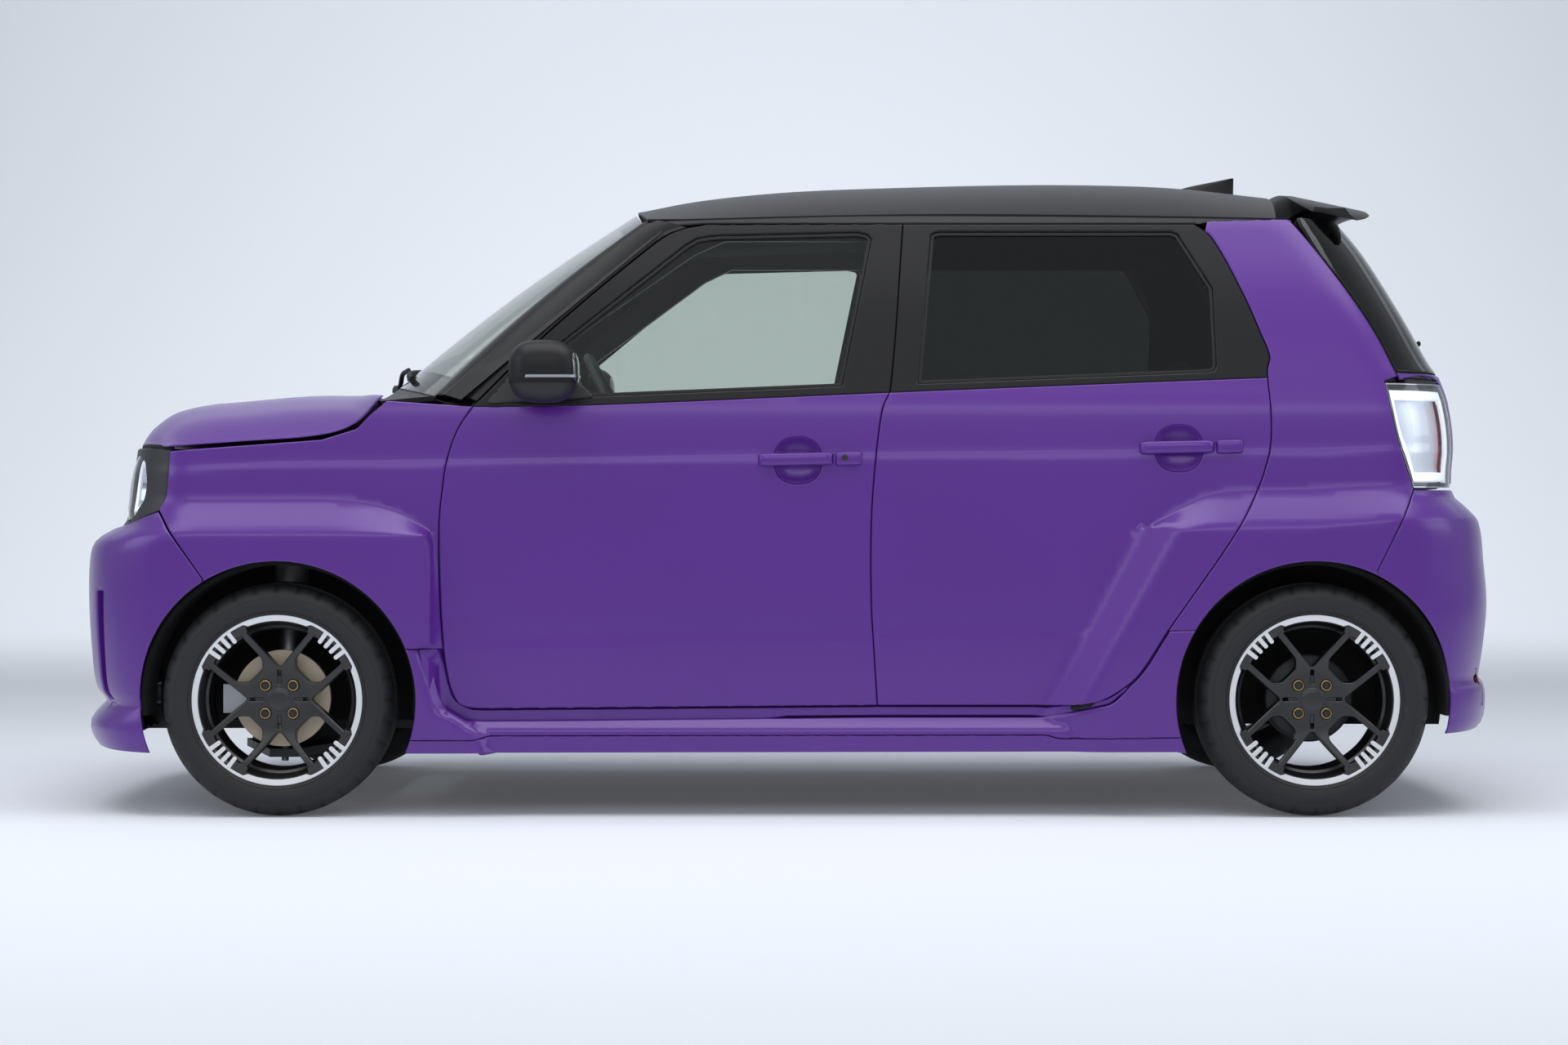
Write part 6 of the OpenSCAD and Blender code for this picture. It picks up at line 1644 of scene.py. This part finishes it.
def cup_bowl(at, outline):
    """Bowl pressed inwards behind the hole in the skin."""
    def make(name):
        verts, rows = [], np.linspace(1, .02, 9)
        for t in rows:
            ring = at + (outline - at) * t
            skin = side_point(ring[:, 0], ring[:, 1])
            skin[:, 1] += CUP_DEEP * (1 - t ** 4) + CUP_SINK
            verts.append(skin)
        count = len(outline)
        faces = ring_faces(len(rows), count, False) + [tuple((len(rows) - 1) * count + k for k in range(count))]
        obj = mesh_object(name, np.vstack(verts), faces)
        thick = obj.modifiers.new("wall", "SOLIDIFY")
        thick.thickness, thick.offset = CUP_WALL, 1.0
        return applied(obj)
    return make

def applied(obj):
    """The piece with its modifiers made real."""
    mesh = bpy.data.meshes.new_from_object(obj.evaluated_get(bpy.context.evaluated_depsgraph_get()))
    obj.modifiers.clear()
    obj.data = mesh
    return tidy(obj)

def bevelled(obj, width, segments, degrees):
    """The piece with its edges rounded where faces meet at more than this angle."""
    bevel = obj.modifiers.new("edges", "BEVEL")
    bevel.width, bevel.segments, bevel.limit_method = width, segments, "ANGLE"
    bevel.angle_limit = math.radians(degrees)
    return applied(obj)

print("cup depth", CUP_DEEP, "m")

# %% Handle bars
def handle_bar(at, start, end, tall, out, bow=.004):
    """A bar along the door, its section rounded, with its ends turned in to the skin."""
    def make(name):
        x = np.linspace(at[0] + start, at[0] + end, 40)
        s = np.abs(2 * (x - x[0]) / (x[-1] - x[0]) - 1)
        z = at[1] + (x - at[0]) * .02
        skin = side_point(x, z)
        reach = out * (1 - s ** 10) ** .5 - .002
        high = tall / 2 * (1 - .25 * s ** 8)
        section = [(-1, 0), (-1, .55), (-.86, .9), (-.55, 1), (.55, 1), (.86, .9), (1, .55), (1, 0)]
        verts = np.stack([np.column_stack([x, skin[:, 1] - reach * d - bow * d * (1 - s ** 2) + .004 * (d == 0),
                z + high * a]) for a, d in section], axis=1)
        obj = tidy(mesh_object(name, verts.reshape(-1, 3), ring_faces(len(x), len(section))))
        return bevelled(obj, .0012, 2, 30)
    return make

print("handle height", HANDLE_TALL, "m")

# %% Build the handles
LOCK = [(.0005, .0195), (.0065, .0195), (.0075, .0185), (.0075, .004), (.0005, .004)]
for at, cup, bodies, name in ((handle_at[0], cups[0], FRONT_DOORS, "front"),
                              (handle_at[1], cups[1], REAR_DOORS, "rear")):
    pair(name + "_handle_cup", cup_bowl(at, cup), PURPLE, bodies, "purple_paint")
    pair(name + "_handle", handle_bar(at + [0, .003], -.098, .088, HANDLE_TALL, HANDLE_OUT), PURPLE, bodies,
         "purple_paint")
    pair(name + "_handle_end", handle_bar(at + [.123, .0045], -.033, .034, HANDLE_TALL + .002, HANDLE_OUT - .003,
            0), PURPLE, bodies, "purple_paint")
    if name == "front":
        lock = handle_at[0] + [.114, .007]
        deep = side_point(lock[:1], lock[1:])[0]
        pair("front_lock", lambda n: turned(n, LOCK, side_turn(*deep), 24), TRIM, bodies, "black_plastic")
print("handles made")

# %% [markdown]
# The spoiler carries on the roof line over the rear window, and the fin holds the aerial. Both could be
# sculpted; sections set along the roof follow its crown, and a bevel rounds the spoiler's edges.

# %% Roof spoiler
SPOILER = np.array([[1.004, 1.938, 1], [1.05, 1.936, 1], [1.22, 1.905, 1], [1.398, 1.872, 1], [1.404, 1.866, .97],
                    [1.39, 1.853, .9],
                    [1.33, 1.812, .4], [1.29, 1.79, 0], [1.13, 1.79, 0], [1.02, 1.8, 0]])
SPOILER_HALF, SPOILER_DROP = .72, 1.2

def spoiler_piece(name):
    ws = spread(44, 1)
    mid, ends = roof_at(np.ones(1), np.zeros(1))[0], roof_at(np.ones(len(ws)), ws * SPOILER_HALF)
    drop = SPOILER_DROP * float(level(ROOF_CROWN[-1][1]) - level(ROOF_EDGE[-1][1]))
    base = places(SPOILER[:, :2])
    verts = []
    for w, end in zip(ws, ends):
        e = abs(w * SPOILER_HALF) ** ROOF_POWER
        round_end = (1 - abs(w) ** 14)
        centre = base.mean(axis=0)
        rows = centre + (base - centre) * (.55 + .45 * round_end)
        verts.append(np.column_stack([rows[:, 0] + end[0] - mid[0],
                np.full(len(base), w * BODY_HALF * SPOILER_HALF), rows[:, 1] - SPOILER[:, 2] * drop * e]))
    obj = tidy(mesh_object(name, np.vstack(verts), ring_faces(len(ws), len(base))))
    return bevelled(obj, .0025, 3, 35)

dress(spoiler_piece("roof_spoiler"), BLACK, "tailgate", "black_paint", ["spoiler"])
print("spoiler made")

# %% Aerial fin
FIN_X, FIN_TOP, FIN_WIDE = station(np.array([.903, .964])), 1.627, .034

def fin_piece(name):
    verts, rows, cols = [], 18, 28
    lon = np.linspace(0, 2 * math.pi, cols, endpoint=False)
    for t in np.linspace(0, 1, rows):
        front = FIN_X[0] + (FIN_X[1] - FIN_X[0]) * (.02 + .94 * t ** 1.75)
        rear = FIN_X[1] + .001 * t
        wide = FIN_WIDE / 2 * (1 - .8 * t ** .7)
        x = (front + rear) / 2 + (rear - front) / 2 * np.cos(lon)
        y = wide * np.sin(lon) * (.72 + .28 * np.cos(lon + math.pi)) ** .5
        u = (x - float(station(ROOF_FRONT[0]))) / float(station(ROOF_REAR[0]) - station(ROOF_FRONT[0]))
        ground = level(curve(u, ROOF_CROWN))
        lift = t * (FIN_TOP - ground)
        verts.append(np.column_stack([x, y, ground + lift - .001 * (t == 0)]))
    return tidy(mesh_object(name, np.vstack(verts), ring_faces(rows, cols)))

dress(fin_piece("aerial_fin"), BLACK, "shell", "black_paint", ["antenna_fin"])
print("fin made")

# %% [markdown]
# ## Cabin and running gear
# Seats are foam pads under woven cloth on plastic plinths. Each pad starts as a rounded block a little
# smaller than the CAD seat, is blown up by the cloth solver as foam fills a cover, and gets its sewn
# channels after that. The pads stay in the space that the CAD seats hold.

# %% Filling and sewing the pads
VOXEL, SWELL, PRESSURE, STEPS = .008, .012, 4.0, 20
scene = bpy.context.scene

def blown(obj):
    """The piece after the cloth solver filled it, with every point's movement capped."""
    before = read_rows(obj.data.vertices, "co")
    cloth = obj.modifiers.new("cover", "CLOTH")
    cloth.settings.use_pressure, cloth.settings.uniform_pressure_force = True, PRESSURE
    cloth.settings.effector_weights.gravity = 0
    for step in range(1, STEPS + 1):
        scene.frame_set(step)
    mesh = obj.evaluated_get(bpy.context.evaluated_depsgraph_get()).to_mesh()
    move = read_rows(mesh.vertices, "co") - before
    obj.modifiers.clear()
    scene.frame_set(1)
    far = np.linalg.norm(move, axis=1)
    move *= np.minimum(1, SWELL / np.maximum(far, 1e-9))[:, None]
    obj.data.vertices.foreach_set("co", (before + move).ravel())
    obj.data.update()
    return obj

def sewn(obj, at, channels):
    """Channels pressed in along the cover: (axis, place from the middle, depth, width)."""
    places_now, normals = read_rows(obj.data.vertices, "co"), read_rows(obj.data.vertices, "normal")
    for axis, place, depth, width in channels:
        share = np.exp(-((places_now[:, axis] - at[axis] - place) / width) ** 2)
        places_now = places_now - normals * (depth * share)[:, None]
    obj.data.vertices.foreach_set("co", places_now.ravel())
    obj.data.update()
    return obj

def pad(at, half, power, lean=0.0, channels=()):
    """A cushion: rounded block, leaned back, remeshed, blown up and sewn."""
    def make(name):
        obj = pod(name, np.zeros(3), np.array(half), power)
        for v in obj.data.vertices:
            v.co = Vector((v.co.x + lean * v.co.z + at[0], v.co.y + at[1], v.co.z + at[2]))
        net = obj.modifiers.new("net", "REMESH")
        net.mode, net.voxel_size = "VOXEL", VOXEL
        obj = applied(obj)
        obj = blown(obj)
        return sewn(obj, at, channels)
    return make

print("net of %.0f mm" % (1000 * VOXEL))

# %% Build the seats
COLUMNS = [(1, -.135, .006, .007), (1, .135, .006, .007)]
SEATS = [("front_cushion", (-.185, -.33, .448), (.198, .212, .082), 4.0, 0, COLUMNS + [(0, .02, .006, .007)]),
         ("front_backrest", (.172, -.33, .77), (.05, .212, .262), 4.5, .31,
          COLUMNS + [(2, -.1, .006, .007), (2, .06, .006, .007)]),
         ("front_head_rest", (.262, -.33, 1.103), (.028, .122, .05), 3.4, .25, [])]
BENCH = [("bench_cushion", (.7, 0, .465), (.138, .505, .095), 4.5, 0,
          [(1, 0, .007, .007), (1, -.26, .005, .007), (1, .26, .005, .007)]),
         ("bench_backrest", (.945, 0, .79), (.046, .505, .225), 5.0, .24,
          [(1, 0, .007, .007), (2, .05, .005, .007)])]
for name, at, half, power, lean, channels in SEATS:
    twins = pair(name, pad(at, half, power, lean, channels), CLOTH, "shell", "seat_fabric",
                 (("seats",) if name == "front_cushion" else (), ()))
for name, at, half, power, lean, channels in BENCH:
    dress(pad(at, half, power, lean, channels)(name), CLOTH, "shell", "seat_fabric")
for piece in pair("bench_head_rest", pad((1.005, -.27, 1.078), (.026, .112, .044), 3.4, .2), CLOTH, "shell",
                  "seat_fabric"):
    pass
print("seat pads made")

# %% Plinths and head rest posts
pair("front_seat_plinth", lambda n: pod(n, np.array([-.155, -.33, .289]), np.array([.18, .195, .072]), 7.0),
     CABIN, "shell", "interior")
dress(pod("bench_plinth", np.array([.7, 0, .29]), np.array([.13, .49, .072]), 8.0), CABIN, "shell", "interior")
for name, x, y, z in (("front", .245, -.33, 1.04), ("bench", .995, -.27, 1.02)):
    for k, dy in enumerate((-.05, .05)):
        posts = np.array([[x - .01, y + dy, z - .05], [x + .008, y + dy, z + .03]])
        pair("%s_head_rest_post_%d" % (name, k), lambda n: tube(n, spline(posts, .02), .006, 12), CHROME, "shell",
             "steel")
print("plinths and posts made")

# %% [markdown]
# A wheelhouse is closed by a ribbed wall on the inside and by a lining that bends out to the fender.
# Without them the light would fall through the arch. They could be one shell, but wall and edge lie on
# different surfaces, so each is a sheet of its own.

# %% Wheelhouse walls
HOUSE_R, HOUSE_LOW, RIBS, RIB_DEEP = ARCH_R + .01, .215, 16, .004

def house_wall(axle_x, y):
    """Pressed inner wall of a wheelhouse, with ribs that run out from the hub line."""
    def at(p, q):
        a, r = np.arctan2(q - TYRE_R, p - axle_x), np.hypot(q - TYRE_R, p - axle_x)
        return np.column_stack([p, -y - RIB_DEEP * np.sin(RIBS * a) * np.clip((r - .12) / .1, 0, 1), q])
    outline = loop(arc((axle_x, TYRE_R), HOUSE_R, rise(HOUSE_LOW), 180 - rise(HOUSE_LOW), .012))
    return lambda name: sheet(name, at, outline, thick=.003, pitch=.02)

print("wheelhouse radius %.3f m" % HOUSE_R)

# %% Wheelhouse edges
EDGE_IN, EDGE_GAP, EDGE_R, EDGE_BEAD = .7, .005, ARCH_R + .004, .003

def house_edge(axle_x):
    """Outer edge of a wheelhouse lining, bent out to the panel round the arch, with one bead along it."""
    def at(a, t):
        r = EDGE_R + EDGE_BEAD * np.sin(math.pi * t) ** 2
        x, z = axle_x + r * np.cos(a), TYRE_R + r * np.sin(a)
        return np.column_stack([x, -mix(EDGE_IN, skin_y(x, z) - EDGE_GAP, t), z])
    turns = np.radians(np.linspace(rise(HOUSE_LOW), 180 - rise(HOUSE_LOW), 61))
    return lambda name: patch(name, at, turns, np.linspace(0, 1, 9), thick=.003)

for name, axle_x, y in (("front", FRONT_AXLE, .425), ("rear", REAR_AXLE, .572)):
    pair(name + "_wheelhouse_wall", house_wall(axle_x, y), LINER, "shell", "black_plastic")
    pair(name + "_wheelhouse_edge", house_edge(axle_x), LINER, "shell", "black_plastic")
print("wheelhouse walls made")

# %% [markdown]
# A moulded tray closes the nose from below, from the bumper's lower edge back to the wheelhouses. A flat
# plate would drum in the wind, so such trays are ribbed, and here a ribbed grid follows the nose.

# %% Tray under the nose
TRAY_HALF, TRAY_REAR, TRAY_GAP, TRAY_RIB = .6, -1.6, .012, .075
TRAY_HEIGHTS = (.17, .205)

def tray_at(u, v):
    """Ribbed tray: u runs back from the bumper, v is the place across the car."""
    front = front_x(v, np.full(len(v), TRAY_HEIGHTS[0])) + TRAY_GAP
    ribs = RIB_DEEP * np.cos(2 * math.pi * v / TRAY_RIB)
    return np.column_stack([mix(front, TRAY_REAR, u), v, mix(*TRAY_HEIGHTS, u) + ribs])

tray = patch("nose_tray", tray_at, np.linspace(0, 1, 9), np.linspace(-TRAY_HALF, TRAY_HALF, 129), thick=.003)
dress(tray, LINER, "shell", "black_plastic")
print("tray under the nose made")

# %% [markdown]
# The other CAD pieces keep their shapes and get finishes: carpet on the floor, moulded plastic on the
# dashboard, dip-painted steel below, cast aluminium on the drive unit and the hub carriers. They are
# partly hidden, so new meshes would add little.

# %% Finishes on CAD pieces
# Leather: dark, pebbled, and glossier where hands hold it.
HIDE = grained("steering_leather_stitched", "#141414", .55, 1.8, .25, .7, (.45, .65))
# Needled carpet: fibrous, dark, with a faint sheen.
CARPET = grained("floor_carpet_needled", "#18191b", .97, 2.6, .8, .9, Sheen_Weight=.2)
FINISHES = {"floor_pan": CARPET, "battery_pack": STEEL, "drive_unit": CAST, "dashboard": CABIN,
            "side_frames": BLACK, "front_subframe": STEEL,
            "rear_axle_beam": STEEL, "arch_liners": LINER, "steering_wheel": HIDE, "knuckle_l": CAST,
            "knuckle_r": CAST, "disc_l": DISC, "disc_r": DISC}
for node, finish in FINISHES.items():
    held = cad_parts[node].data.materials
    held.clear()
    held.append(finish)
shown = [n for n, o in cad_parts.items() if not o.hide_render]
print("CAD pieces shown:", shown, "without finish:", [n for n in shown if n not in FINISHES])

# %% [markdown]
# Real glass lets most of the light through. A path tracer would treat each pane as dark until a path
# finds a lamp behind it, so the panes cast no shadow and the cabin is lit as it should be.

# %% Glass lets the light in
panes = [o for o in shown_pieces() if o.data.materials and o.data.materials[0] in (CLEAR, PRIVACY, LENS, RED)]
for o in panes:
    o.visible_shadow = False
print("panes that cast no shadow:", len(panes))
